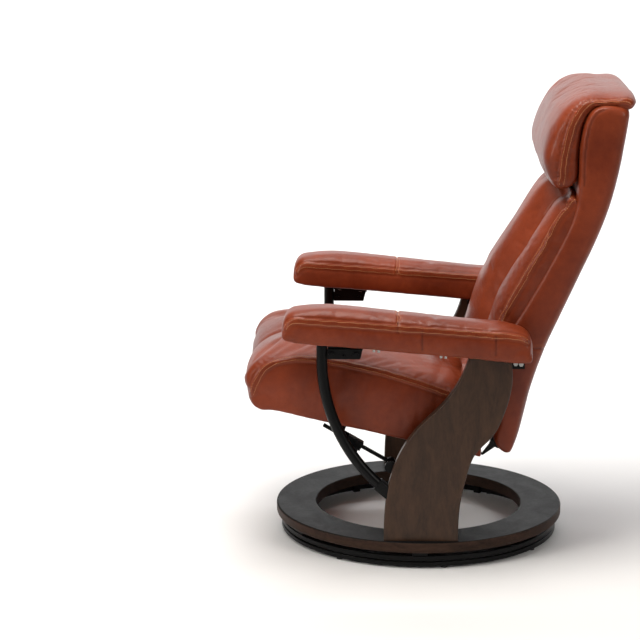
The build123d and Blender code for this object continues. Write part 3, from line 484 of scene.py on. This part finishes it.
PAD_FRONT = (
    (-90, 10), (-82, 60), (-68, 110), (-58, 150), (-39, 206), (-10, 262), (34, 330), (72, 396),
    (94, 428), (122, 446),
)
PAD_BACK = ((146, 450), (160, 436), (154, 377), (111, 284), (59, 189), (28, 136), (7, 80), (-18, 24))
PAD_SPINE = ((-60, 20), (-15, 130), (60, 270), (120, 420))
PAD_SEAM = (
    (146, 428), (130, 408), (107, 372), (82, 322), (55, 271), (24, 211), (-10, 152), (-30, 100), (-45, 30),
)
PAD_VALLEY = (
    (122, 424), (106, 400), (83, 369), (51, 301), (18, 247), (-10, 192), (-22, 162), (-26, 123), (-40, 60),
)

PILLOW_OUT = (
    (110, 440), (82, 462), (72, 500), (79, 538), (92, 573), (111, 608), (134, 634), (167, 651), (207, 655),
    (247, 650), (270, 643), (281, 634),
)
PILLOW_IN = (
    (280, 622), (266, 616), (250, 619), (215, 623), (192, 618), (178, 606), (167, 584), (160, 543),
    (158, 510), (158, 476), (151, 453), (132, 440),
)
PILLOW_SPINE = ((122, 470), (118, 520), (132, 580), (170, 632), (215, 643), (262, 642))
PILLOW_SEAM = (
    (120, 453), (125, 508), (133, 551), (145, 590), (165, 622), (186, 639), (207, 644),
    (239, 643), (271, 637),
)

SHELL_REAR = (
    (15, -152), (24, -146), (43, -98), (65, -7), (96, 88), (145, 200), (213, 355), (244, 465), (264, 584),
)
SHELL_TOP = (
    (266, 608), (258, 620), (239, 625), (215, 626), (193, 621), (178, 609), (166, 584), (158, 543),
    (156, 500),
)
SHELL_FRONT = (
    (155, 449), (141, 377), (98, 284), (46, 189), (15, 136), (-6, 80), (-26, 24), (-28, -14), (-18, -45),
)
SHELL_LOW = ((-10, -66), (-18, -105), (-16, -126), (-8, -138), (4, -148))
SHELL_SPINE = ((0, -100), (20, 0), (55, 110), (120, 260), (180, 380), (205, 480), (215, 580))

ARM_FRONT = ((-480, 151), (-476, 177), (-461, 191), (-440, 195))
ARM_TOP = ((-397, 198), (-355, 196), (-231, 184), (-56, 167), (-14, 164), (19, 157))
ARM_HEEL = ((40, 150), (55, 137), (60, 122), (57, 100))
ARM_SEAM = (
    (-474, 158), (-466, 169), (-448, 173), (-419, 171), (-355, 167), (-231, 158), (-141, 152), (-56, 146),
    (-13, 143), (30, 141), (50, 136),
)


def arm_under(u):
    """Height of the arm's underside, which falls towards the back."""
    return 84.6 - u * math.tan(math.radians(4.85))


# ---- the seat ------------------------------------------------------------------------------
def seat_cushion():
    """Box seat: flat side panels up to a sewn edge, two puffs on top and a soft valley between them."""
    outline = curve(SEAT_TOP + SEAT_UNDER, 220, closed=True)
    top = smoothstep(-0.05, 0.35, (outline[:, 1] - under_seat(outline[:, 0])) / 90)
    front = smoothstep(-420, -560, outline[:, 0])

    def relief(x, n):
        """Two puffs are bells centred between middle and side, less a narrow bell for the valley."""
        share = np.abs(x) / SEAT_HALF
        puff = 4 * hump(share, 0.5, 0.33) - 9 * hump(share, 0, 0.14)
        return top[n] * (puff * (1 - 0.5 * front[n]) - 4)

    piece = cushion_form(
        "seat_upholstery", outline, SEAT_SPINE, SEAT_HALF - 0.003, 0.034, 3 + 16 * top, relief, bulge=1
    )
    remesh(piece, 0.006)
    place = coords(piece)
    flat = (place[:, 2] - HIP[2]) / MM - under_seat((place[:, 1] - HIP[1]) / MM)
    side = side_line(SEAT_SEAM, SEAT_HALF)
    seams = [side, mirrored(side)]
    held = 1 - smoothstep(8, 34, flat)
    for seam in seams:
        away, _ = nearest_on(seam, place)
        held = np.maximum(held, 0.95 * hump(away / MM, 0, 10))
    held = np.maximum(held, 0.9 * smoothstep(-110, -60, (place[:, 1] - HIP[1]) / MM))
    low_front = hump(place[:, 1] - HIP[1], -0.535, 0.035)
    low_front *= 1 - smoothstep(-30, 0, (place[:, 2] - HIP[2]) / MM)
    held = np.maximum(held, low_front)
    stuff(piece, held, 9)
    refine(piece)
    lined = [lay_on(seam, piece, 5)[0] for seam in seams]
    for k, seam in enumerate(lined):
        sew(piece, seam, (0, -0.2, 1), pucker=0.22, pitch=12, band=8, seed=3 + k)
    crease(piece, "seat")
    for seam in lined:
        for offset in (-STITCH_GAP, STITCH_GAP):
            stitch_row(piece, seam, offset, (0, -0.2, 1))
    shade_by(piece, lined)
    return dress(piece, "seat", "seat_cushion", stitches=True)


# ---- the back ------------------------------------------------------------------------------
def back_cushion():
    """Back pad: a proud middle panel, a deep channel on each side of it, and a bolster outside that."""
    outline = curve(PAD_FRONT + PAD_BACK, 240, closed=True)
    n_front = len(outline) * 0.52
    front = smoothstep(-2, 10, np.minimum(np.arange(len(outline)), n_front - np.arange(len(outline))))
    low = smoothstep(0, 60, outline[:, 1])

    def relief(x, n):
        """A channel's S-shaped step down, a step back up to the bolster, and a last step down at the edge."""
        share = np.abs(x) / MM
        dip = 40 * smoothstep(52, 112, share) - 12 * smoothstep(124, 168, share)
        dip += 12 * smoothstep(200, 242, share) + 7 * hump(share, 117, 8)
        return -front[n] * (dip * (0.35 + 0.65 * low[n]) + 2)

    piece = cushion_form(
        "back_upholstery", outline, PAD_SPINE, PAD_HALF - 0.001, 0.03, 12 * front, relief, bulge=1
    )
    remesh(piece, 0.0055)
    place = coords(piece)
    edge = smoothstep(0.19, 0.245, np.abs(place[:, 0]))
    place[:, 2] -= 0.012 * edge * smoothstep(0.38, 0.46, place[:, 2] - HIP[2])
    set_coords(piece, place)
    seam = side_line(PAD_SEAM, PAD_HALF)
    seams = [seam, mirrored(seam)]
    channel = side_line(PAD_VALLEY, 0.116)
    channels = [channel, mirrored(channel)]
    rear = side_line(PAD_BACK, 0.0)
    from_rear = nearest_on(rear[:, 1:], place[:, 1:])[0] / MM
    held = 1 - smoothstep(4, 20, from_rear)
    for line in seams + channels:
        away, _ = nearest_on(lay_on(line, piece)[0], place)
        held = np.maximum(held, 0.95 * hump(away / MM, 0, 12))
    stuff(piece, held, 8)
    refine(piece)
    lined = [lay_on(line, piece, 6)[0] for line in seams]
    sunk = [lay_on(line, piece, 8)[0] for line in channels]
    for k, line in enumerate(lined):
        sew(piece, line, (0, -1, 0.3), pucker=0.42, pitch=12, band=8, seed=13 + k)
    for k, line in enumerate(sunk):
        gutter(piece, line, depth=5.0, width=5.5, pucker=0.45, pitch=38, reach=22, seed=23 + k)
    crease(piece, "back")
    for line in lined:
        for offset in (-STITCH_GAP, STITCH_GAP):
            stitch_row(piece, line, offset, (0, -1, 0.3))
    shade_by(piece, lined, sunk)
    return dress(piece, "back", "back_pad", stitches=True)


def shell_cover():
    """Leather drawn tightly over the rear of the back: one smooth form with rounded long edges."""
    outline = curve(SHELL_REAR + SHELL_TOP + SHELL_FRONT + SHELL_LOW, 300, closed=True)
    at = np.arange(len(outline)) / len(outline)
    rear = smoothstep(0.0, 0.05, at) * smoothstep(0.52, 0.46, at)

    def relief(x, n):
        """The rear falls away with the fourth power of the place across."""
        return -0.5 - 3.0 * rear[n] * (np.abs(x) / BACK_HALF) ** 4

    piece = cushion_form(
        "shell_upholstery", outline, SHELL_SPINE, BACK_HALF, 0.03, 8 + 12 * rear, relief, bulge=1
    )
    remesh(piece, 0.006)
    refine(piece)
    seam_low = np.column_stack([np.linspace(-0.25, 0.25, 160), np.full(160, 0.26), np.full(160, 0.482)])
    edge = side_line(((205, 617), (190, 606), (178, 585), (170, 545), (168, 500), (166, 452)), BACK_HALF)
    cross_left = np.column_stack([np.full(80, BACK_HALF), np.linspace(0.175, 0.262, 80), np.full(80, 0.482)])
    drawn = (seam_low, edge, mirrored(edge), cross_left, mirrored(cross_left))
    lines = [lay_on(line, piece, 6)[0] for line in drawn]
    for k, line in enumerate(lines):
        gutter(piece, line, depth=1.5, width=2.0, pucker=0.1, pitch=20, reach=8, seed=33 + k)
    crease(piece, "shell")
    shade_by(piece, (), lines)
    return dress(piece, "back", "back_shell", stitches=False)


def head_pillow():
    """Head pillow: a big smooth front that wraps over the shell, sewn at each end to a gathered border."""
    outline = curve(PILLOW_OUT + PILLOW_IN, 220, closed=True)
    away = nearest_on(spaced(np.asarray(PILLOW_SPINE, float), 200), outline)[0]
    at = np.arange(len(outline)) / len(outline)
    outer = smoothstep(0.0, 0.05, at) * smoothstep(0.52, 0.44, at)
    aft = smoothstep(120, 200, outline[:, 0])

    def relief(x, n):
        """The front falls away with the fourth power of the place across, and the aft edge with the sixth."""
        share = np.abs(x) / PILLOW_HALF
        return outer[n] * (-7 - 5 * share**4 - 9 * aft[n] * share**6)

    piece = cushion_form(
        "pillow_upholstery", outline, PILLOW_SPINE, PILLOW_HALF - 0.006, 0.036,
        np.minimum(22, away * 0.55) * (0.25 + 0.75 * outer), relief, bulge=4,
    )
    remesh(piece, 0.005)
    place = coords(piece)
    share = np.abs(place[:, 0]) / PILLOW_HALF
    aft = smoothstep(0.15, 0.28, place[:, 1] - HIP[1])
    place[:, 1] -= 0.014 * aft * share**8
    place[:, 2] -= 0.009 * aft * share**5
    set_coords(piece, place)
    seam = side_line(PILLOW_SEAM, PILLOW_HALF)
    seams = [seam, mirrored(seam)]
    inner = side_line(PILLOW_IN[2:], 0.0)
    from_shell = nearest_on(inner[:, 1:], place[:, 1:])[0] / MM
    held = 1 - smoothstep(3, 14, from_shell)
    for line in seams:
        gap, _ = nearest_on(line, place)
        held = np.maximum(held, 0.93 * hump(gap / MM, 0, 9))
    held = np.maximum(held, 0.85 * smoothstep(200, 250, (place[:, 1] - HIP[1]) / MM))
    stuff(piece, held, 8)
    refine(piece)
    lined = [lay_on(line, piece, 6)[0] for line in seams]
    for k, line in enumerate(lined):
        sew(piece, line, (0, -1, 0.6), pucker=0.62, pitch=9, band=9, seed=43 + k)
    crease(piece, "pillow")
    for line in lined:
        for offset in (-STITCH_GAP, STITCH_GAP):
            stitch_row(piece, line, offset, (0, -1, 0.6))
    shade_by(piece, lined)
    return dress(piece, "pillow", "head_pillow", stitches=True)


# ---- the arms ------------------------------------------------------------------------------
def arm_form():
    """Left arm pad: straight sides up to the sewn edges and a crowned top, thinner at the nose."""
    under = tuple((u, arm_under(u)) for u in (46, -100, -300, -462))
    outline = curve(ARM_FRONT + ARM_TOP + ARM_HEEL + under, 220, closed=True)
    top = smoothstep(10, 50, outline[:, 1] - arm_under(outline[:, 0]))
    spine = tuple((u, arm_under(u) + 38) for u in (-430, -200, 15))

    def relief(x, n):
        """The crown stands a little lower than the outline."""
        return top[n] * -3 + 0 * x

    piece = cushion_form(
        "arm_upholstery_left", outline, spine, ARM_HALF - 0.002, 0.028, 1 + 19 * top, relief,
        bulge=1, middle=ARM_X,
    )
    remesh(piece, 0.005)
    place = coords(piece)
    seams = [side_line(ARM_SEAM, ARM_X + ARM_HALF), side_line(ARM_SEAM, ARM_X - ARM_HALF)]
    flat = (place[:, 2] - HIP[2]) / MM - arm_under((place[:, 1] - HIP[1]) / MM)
    held = 1 - smoothstep(4, 18, flat)
    for line in seams:
        gap, _ = nearest_on(line, place)
        held = np.maximum(held, 0.93 * hump(gap / MM, 0, 8))
    stuff(piece, held, 3)
    refine(piece)
    lined = [lay_on(line, piece, 6)[0] for line in seams]
    for k, line in enumerate(lined):
        sew(piece, line, (0, 0, 1), pucker=0.07, pitch=12, band=7, seed=53 + k)
    band = np.linspace(-1, 1, 140)
    over = np.column_stack([ARM_X - 0.012 + band * 0.045, np.full(140, -0.052), 0.575 - 0.03 * band**4])
    cross = lay_on(over, piece, 6)[0]
    gutter(piece, cross, depth=3.4, width=2.4, pucker=0.12, pitch=16, reach=9, seed=61)
    upright = [
        np.column_stack([np.full(60, ARM_X + ARM_HALF), np.full(60, y), np.linspace(top_z, low_z, 60)])
        for y, top_z, low_z in ((0.157, 0.532, 0.492), (0.0, 0.545, 0.503))
    ]
    upright = [lay_on(line, piece, 6)[0] for line in upright]
    for k, line in enumerate(upright):
        gutter(piece, line, depth=1.6, width=2.0, pucker=0.2, pitch=12, reach=8, seed=63 + k)
    crease(piece, "arm")
    for line in lined:
        for offset in (-4.0, 4.0):
            stitch_row(piece, line, offset, (0, 0, 1))
    for offset in (-3.6, 3.6):
        stitch_row(piece, cross, offset, (0, -1, 0))
    shade_by(piece, lined, [cross] + upright)
    return dress(piece, "turntable", "arm_pad_left", stitches=True)


def arm_copy(piece, name, node):
    """The right arm's piece: the left one reflected, with its faces turned round again."""
    mesh = piece.data.copy()
    mesh.name = name
    twin = bpy.data.objects.new(name, mesh)
    bpy.context.scene.collection.objects.link(twin)
    set_coords(twin, coords(twin) * np.array([-1.0, 1.0, 1.0]))
    mesh.flip_normals()
    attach(twin, "turntable")
    if node:
        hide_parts(node)
    return twin


# ---- folds, and what every cushion gets ----------------------------------------------------
def fold(piece, line, depth, width, roll=0.0):
    """A soft crease along a line: a bell-shaped dip that fades towards both ends, with a roll beside it."""
    verts, outs = coords(piece), normals(piece)
    away, which = nearest_on(line, verts)
    fade = np.sin(math.pi * (which + 0.5) / len(line)) ** 0.7
    d = away / MM
    lift = -depth * np.exp(-((d / width) ** 2)) + roll * hump(d, 2.1 * width, width)
    near = d < 5 * width
    verts[near] += outs[near] * (lift * fade * MM)[near, None]
    set_coords(piece, verts)


def crease(piece, kind):
    """The slow unevenness of worn leather over foam, and the folds each part takes."""
    verts, outs = coords(piece), normals(piece)
    rough = {"seat": 0.9, "back": 0.9, "pillow": 0.7, "arm": 0.5, "shell": 0.5}[kind]
    lift = rough * waves(verts, 0.19, 71) + 0.12 * rough * waves(verts, 0.05, 72)
    set_coords(piece, verts + outs * (lift * MM)[:, None])
    for line, depth, width, roll in FOLDS.get(kind, ()):
        points = curve(np.asarray(line, float) * MM, 90)
        points[:, 1:] += HIP[1:]
        for run in (points, mirrored(points)):
            fold(piece, lay_on(run, piece, 4)[0], depth, width, roll)


FOLDS = {
    "pillow": (
        (((200, 98, 590), (120, 96, 600), (20, 96, 596)), 1.0, 10, 0.4),
        (((222, 120, 628), (160, 122, 634), (80, 124, 632)), 0.9, 9, 0.3),
    ),
    "back": (
        (((92, -40, 205), (60, -32, 232), (15, -30, 226)), 1.0, 12, 0.5),
        (((168, 4, 150), (160, 12, 185), (150, 30, 225)), 1.6, 9, 0.8),
        (((225, 10, 150), (232, 0, 172), (236, -5, 188)), 1.8, 8, 0.8),
    ),
    "seat": (
        (((0, -570, 30), (0, -540, 66), (0, -490, 80), (0, -430, 84), (0, -250, 52)), 2.2, 9, 0.5),
        (((235, -150, 20), (170, -135, 16), (90, -130, 14)), 1.4, 12, 0.7),
    ),
    "arm": ((((285, 19, 157), (305, 0, 160), (330, -10, 158)), 0.8, 8, 0.4),),
}


def dress(piece, body, node, stitches):
    """Give a finished cushion its leather, its body and its threads."""
    piece.data.materials.clear()
    piece.data.materials.append(LEATHER)
    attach(piece, body)
    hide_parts(node)
    threads = None
    if stitches:
        threads = stitches_of(piece, piece.name.replace("upholstery", "stitching"))
        threads.data.materials.append(THREAD)
        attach(threads, body)
    return piece, threads


# ---- finishes ------------------------------------------------------------------------------
class Finish:
    """A Principled material put together node by node, with Object coordinates."""

    def __init__(self, name):
        """An empty Principled material of this name."""
        self.material = bpy.data.materials.new(name)
        self.material.use_nodes = True
        self.nodes = self.material.node_tree.nodes
        self.links = self.material.node_tree.links
        self.shader = self.nodes["Principled BSDF"]
        self.place = self.nodes.new("ShaderNodeTexCoord").outputs["Object"]

    def put(self, socket, value):
        """Set a shader input to a constant, or link it."""
        if isinstance(value, bpy.types.NodeSocket):
            self.links.new(value, socket)
        else:
            socket.default_value = value

    def set(self, **inputs):
        """Set the shader's inputs; underscores stand for spaces."""
        for name, value in inputs.items():
            self.put(self.shader.inputs[name.replace("_", " ")], value)

    def scaled(self, scale):
        """Object coordinates stretched along each axis."""
        node = self.nodes.new("ShaderNodeMapping")
        node.inputs["Scale"].default_value = scale
        self.links.new(self.place, node.inputs["Vector"])
        return node.outputs["Vector"]

    def noise(self, scale, detail=3.0, rough=0.5, place=None, distortion=0.0):
        """Soft noise about 0.5."""
        node = self.nodes.new("ShaderNodeTexNoise")
        self.put(node.inputs["Vector"], place or self.place)
        node.inputs["Scale"].default_value = scale
        node.inputs["Detail"].default_value = detail
        node.inputs["Roughness"].default_value = rough
        node.inputs["Distortion"].default_value = distortion
        return node.outputs["Fac"]

    def cells(self, scale, feature="DISTANCE_TO_EDGE", place=None):
        """Distance to the edges of a pattern of cells."""
        node = self.nodes.new("ShaderNodeTexVoronoi")
        node.feature = feature
        self.put(node.inputs["Vector"], place or self.place)
        node.inputs["Scale"].default_value = scale
        return node.outputs["Distance"]

    def math(self, operation, a, b=0.0, clamp=False):
        """One sum of two values."""
        node = self.nodes.new("ShaderNodeMath")
        node.operation = operation
        node.use_clamp = clamp
        self.put(node.inputs[0], a)
        self.put(node.inputs[1], b)
        return node.outputs[0]

    def ramp(self, value, low, high, from_low=0.0, from_high=1.0):
        """The value moved from one range to another, held at both ends."""
        node = self.nodes.new("ShaderNodeMapRange")
        self.put(node.inputs["Value"], value)
        node.inputs["From Min"].default_value = from_low
        node.inputs["From Max"].default_value = from_high
        node.inputs["To Min"].default_value = low
        node.inputs["To Max"].default_value = high
        return node.outputs["Result"]

    def mix(self, share, a, b, blend="MIX"):
        """Two colours mixed."""
        node = self.nodes.new("ShaderNodeMix")
        node.data_type = "RGBA"
        node.blend_type = blend
        self.put(node.inputs["Factor"], share)
        self.put(node.inputs["A"], a)
        self.put(node.inputs["B"], b)
        return node.outputs["Result"]

    def attribute(self, name):
        """A number stored on the piece."""
        node = self.nodes.new("ShaderNodeAttribute")
        node.attribute_name = name
        return node.outputs["Fac"]

    def bump(self, height, distance, strength=1.0, under=None):
        """A bump of so many metres."""
        node = self.nodes.new("ShaderNodeBump")
        node.inputs["Strength"].default_value = strength
        node.inputs["Distance"].default_value = distance
        self.links.new(height, node.inputs["Height"])
        if under is not None:
            self.links.new(under, node.inputs["Normal"])
        return node.outputs["Normal"]


def rgb(red, green, blue):
    """A colour as seen on a screen, made linear."""
    c = np.array([red, green, blue]) / 255
    c = np.where(c <= 0.04045, c / 12.92, ((c + 0.055) / 1.055) ** 2.4)
    return (*c.tolist(), 1.0)


def leather():
    """Polished leather: fine pebbled grain, slow patches of tone, lighter rubbed leather on sewn strips, and
    painted shade in seams, channels and the grain's valleys.
    """
    f = Finish("cognac_leather")
    rub_and_shade = f.attribute("rub_and_shade")
    patches = f.noise(6, 4, 0.6)
    fine = f.noise(60, 4, 0.65)
    tone = f.math("ADD", f.math("MULTIPLY", patches, 0.8), f.math("MULTIPLY", fine, 0.25))
    base = f.mix(f.ramp(tone, 0, 1, 0.38, 0.7), rgb(102, 39, 19), rgb(135, 57, 29))
    # Rubbed leather: lighter where the stored value is positive, on the sewn strips.
    base = f.mix(f.ramp(rub_and_shade, 0, 0.8, 0.05, 0.7), base, rgb(176, 88, 44))
    # Painted shade: darker where the stored value is negative, in stitch holes, beside the strips and down the
    # channels.
    base = f.mix(f.ramp(f.math("MULTIPLY", rub_and_shade, -1.0), 0, 0.75, 0.05, 0.7), base, rgb(58, 20, 9))
    shift = f.nodes.new("ShaderNodeVectorMath")
    shift.operation = "MULTIPLY_ADD"
    source = f.nodes.new("ShaderNodeTexNoise")
    source.inputs["Scale"].default_value = 120
    f.links.new(f.place, source.inputs["Vector"])
    f.links.new(source.outputs["Color"], shift.inputs[0])
    shift.inputs[1].default_value = (0.0022, 0.0022, 0.0022)
    f.links.new(f.place, shift.inputs[2])
    pebble = f.ramp(f.cells(520, place=shift.outputs[0]), 0, 1, 0.0, 0.28)
    pores = f.noise(1300, 2, 0.5)
    # Darker in the grain's valleys: painted shade in the crevices of the pebble grain.
    base = f.mix(f.ramp(pebble, 0.35, 0, 0, 0.4), base, rgb(70, 26, 12))
    soft = f.noise(22, 3, 0.5, distortion=0.6)
    folds = f.bump(soft, 0.004, 0.16)
    grain = f.bump(f.math("ADD", pebble, f.math("MULTIPLY", pores, 0.3)), 0.00018, 0.6, under=folds)
    f.set(
        Base_Color=base, Normal=grain, Specular_IOR_Level=0.17,
        Roughness=f.ramp(f.math("ADD", patches, f.math("MULTIPLY", pebble, 0.1)), 0.32, 0.45, 0.35, 0.75),
        Coat_Weight=0.15, Coat_Roughness=0.2,
    )
    return f.material


def thread():
    """Waxed brown thread, with the twist of its strands."""
    f = Finish("brown_thread")
    twist = f.noise(900, 2, 0.5)
    f.set(
        Base_Color=f.mix(twist, rgb(186, 116, 70), rgb(226, 160, 108)), Roughness=f.ramp(twist, 0.5, 0.75),
        Normal=f.bump(twist, 0.0002),
    )
    return f.material


def stained_wood(name, light, dark, stretch, rough, coat):
    """Stained timber: long grain, pores and slow bands along one axis, under a thin lacquer."""
    f = Finish(name)
    along = f.scaled(stretch)
    bands = f.noise(14, 5, 0.6, place=along, distortion=1.2)
    pores = f.noise(120, 3, 0.7, place=along)
    tone = f.math("ADD", f.math("MULTIPLY", bands, 0.8), f.math("MULTIPLY", pores, 0.35))
    f.set(
        Base_Color=f.mix(f.ramp(tone, 0, 1, 0.4, 0.8), dark, light),
        Roughness=f.ramp(tone, rough - 0.05, rough + 0.1, 0.3, 0.8),
        Normal=f.bump(pores, 0.00025, 0.5), Coat_Weight=coat, Coat_Roughness=0.22, Specular_IOR_Level=0.25,
    )
    return f


def ring_wood():
    """The ring: dark brown stained rim, and a black satin top that shows from just inside its rounding."""
    f = stained_wood("ring_timber", rgb(66, 48, 39), rgb(40, 29, 24), (1.0, 1.0, 3.0), rough=0.4, coat=0.05)
    split = f.nodes.new("ShaderNodeNewGeometry")
    turn = f.nodes.new("ShaderNodeSeparateXYZ")
    f.links.new(split.outputs["Normal"], turn.inputs[0])
    top = f.ramp(turn.outputs["Z"], 0, 1, 0.55, 0.9)
    brown = f.shader.inputs["Base Color"].links[0].from_socket
    dust = f.noise(240, 4, 0.6)
    black = f.mix(dust, rgb(10, 11, 12), rgb(21, 22, 23))
    f.set(Base_Color=f.mix(top, brown, black), Specular_IOR_Level=0.07, Coat_Weight=0.0)
    return f.material


def coated_steel():
    """Black powder coat with the faint texture it dries to."""
    f = Finish("powder_coat")
    orange_peel = f.noise(700, 2, 0.5)
    patch = f.noise(9, 3, 0.5)
    f.set(
        Base_Color=f.mix(patch, rgb(4, 4, 5), rgb(10, 10, 11)), Roughness=f.ramp(patch, 0.28, 0.42),
        Normal=f.bump(orange_peel, 0.00012, 0.4), Specular_IOR_Level=0.14,
    )
    return f.material


def zinc():
    """Zinc-plated steel, a little cloudy."""
    f = Finish("zinc_plate")
    cloud = f.noise(160, 4, 0.6)
    f.set(
        Base_Color=f.mix(cloud, rgb(150, 150, 148), rgb(196, 195, 192)), Metallic=1.0,
        Roughness=f.ramp(cloud, 0.22, 0.42), Normal=f.bump(f.noise(900, 2), 0.00008, 0.4),
    )
    return f.material


def moulded_plastic():
    """Black moulded plastic with a fine spark-eroded texture."""
    f = Finish("moulded_plastic")
    grain = f.noise(1200, 2, 0.6)
    f.set(
        Base_Color=f.mix(f.noise(20), rgb(24, 24, 25), rgb(36, 36, 37)), Roughness=f.ramp(grain, 0.45, 0.62),
        Normal=f.bump(grain, 0.0001, 0.6),
    )
    return f.material


def bare_ply():
    """Birch plywood: pale faces with long grain, and plies that show as thin layers."""
    return stained_wood(
        "birch_ply", rgb(196, 158, 112), rgb(152, 114, 74), (6.0, 0.8, 6.0), rough=0.6, coat=0.0
    ).material


def elastic_webbing():
    """Woven elastic: a ribbed weave across the band."""
    f = Finish("elastic_webbing")
    rib = f.nodes.new("ShaderNodeTexWave")
    rib.inputs["Scale"].default_value = 160
    rib.bands_direction = "X"
    f.links.new(f.place, rib.inputs["Vector"])
    f.set(
        Base_Color=f.mix(rib.outputs["Fac"], rgb(28, 28, 30), rgb(62, 62, 64)), Roughness=0.85,
        Normal=f.bump(rib.outputs["Fac"], 0.0004, 0.8),
    )
    return f.material


LEATHER = leather()
THREAD = thread()
FINISHES = {
    "leather": LEATHER,
    "walnut_wood": stained_wood(
        "walnut_stain", rgb(72, 49, 34), rgb(45, 30, 20), (4.0, 2.0, 0.6), rough=0.42, coat=0.06
    ).material,
    "ring_wood": ring_wood(),
    "black_steel": coated_steel(),
    "bright_steel": zinc(),
    "plywood": bare_ply(),
    "black_plastic": moulded_plastic(),
    "webbing": elastic_webbing(),
}
SLOTS = {row["node"]: row["material_slot"] for row in frame["record"]["subparts"]}
for node, piece in frame["nodes"].items():
    piece.data.materials.clear()
    piece.data.materials.append(FINISHES[SLOTS[node]])

seat_cushion()
back_cushion()
shell_cover()
head_pillow()
left_arm, left_threads = arm_form()
arm_copy(left_arm, "arm_upholstery_right", "arm_pad_right")
arm_copy(left_threads, "arm_stitching_right", None)


# ---- studio --------------------------------------------------------------------------------
def studio():
    """Pale floor that curves up into a backdrop, and faint air that only the camera sees as bright."""
    s = np.linspace(0, 1, 60)
    bend = 2.5
    turn = np.clip((s - 0.55) / 0.15, 0, 1) * math.pi / 2
    x = np.where(s < 0.55, 7 - s / 0.55 * 10.5, -3.5 - bend * np.sin(turn))
    z = np.where(s < 0.55, 0, bend * (1 - np.cos(turn))) + np.clip((s - 0.7) / 0.3, 0, 1) * 6
    y = np.linspace(-9, 9, 10)
    shape = (len(s), len(y))
    place = np.stack([np.broadcast_to(v, shape) for v in (x[:, None], y[None], z[:, None])], axis=-1)
    sweep = new_piece("studio_floor", place.reshape(-1, 3), grid_faces(len(s), len(y)))
    paper = Finish("studio_paper")
    paper.set(Base_Color=paper.mix(paper.noise(3), rgb(228, 228, 229), rgb(232, 232, 233)), Roughness=0.7)
    sweep.data.materials.append(paper.material)
    world = bpy.data.worlds.new("studio_air")
    world.use_nodes = True
    air = world.node_tree.nodes["Background"]
    air.inputs["Color"].default_value = (1.0, 0.97, 0.93, 1)
    seen = world.node_tree.nodes.new("ShaderNodeLightPath")
    strength = world.node_tree.nodes.new("ShaderNodeMapRange")
    strength.inputs["To Min"].default_value = 0.1
    strength.inputs["To Max"].default_value = 0.9
    world.node_tree.links.new(seen.outputs["Is Camera Ray"], strength.inputs["Value"])
    world.node_tree.links.new(strength.outputs["Result"], air.inputs["Strength"])
    bpy.context.scene.world = world


def soft_light(name, place, aim, size, watts, colour=(1, 1, 1)):
    """A square soft box at a place, turned to face a point."""
    lamp = bpy.data.lights.new(name, "AREA")
    lamp.shape = "RECTANGLE"
    lamp.size, lamp.size_y = size
    lamp.energy = watts
    lamp.color = colour
    box = bpy.data.objects.new(name, lamp)
    box.location = place
    box.rotation_euler = (Vector(aim) - Vector(place)).to_track_quat("-Z", "Y").to_euler()
    bpy.context.scene.collection.objects.link(box)


def camera():
    """A long lens at the chair's left side, a little above it."""
    lens = bpy.data.cameras.new("side_camera")
    lens.lens = 127.66
    lens.sensor_width = 36
    eye = bpy.data.objects.new("side_camera", lens)
    eye.location = (5.0808, -0.0770, 1.6304)
    eye.rotation_euler = Vector((-0.97524, -0.02927, -0.21921)).to_track_quat("-Z", "Y").to_euler()
    bpy.context.scene.collection.objects.link(eye)
    bpy.context.scene.camera = eye


WARM = (1.0, 0.96, 0.9)
studio()
soft_light("top_box", (0.5, -0.5, 3.2), (0, 0, 0.5), (1.4, 2.4), 112, WARM)
soft_light("front_box", (2.2, -3.2, 1.9), (0, 0, 0.6), (0.8, 1.8), 52, WARM)
soft_light("rear_box", (2.2, 2.8, 2.2), (0, 0, 0.7), (0.5, 1.8), 40, WARM)
soft_light("backdrop_box", (-2.2, 0, 4.2), (-5.6, 0, 1.2), (5.0, 2.0), 300)
camera()
bpy.context.scene.view_settings.view_transform = "Standard"
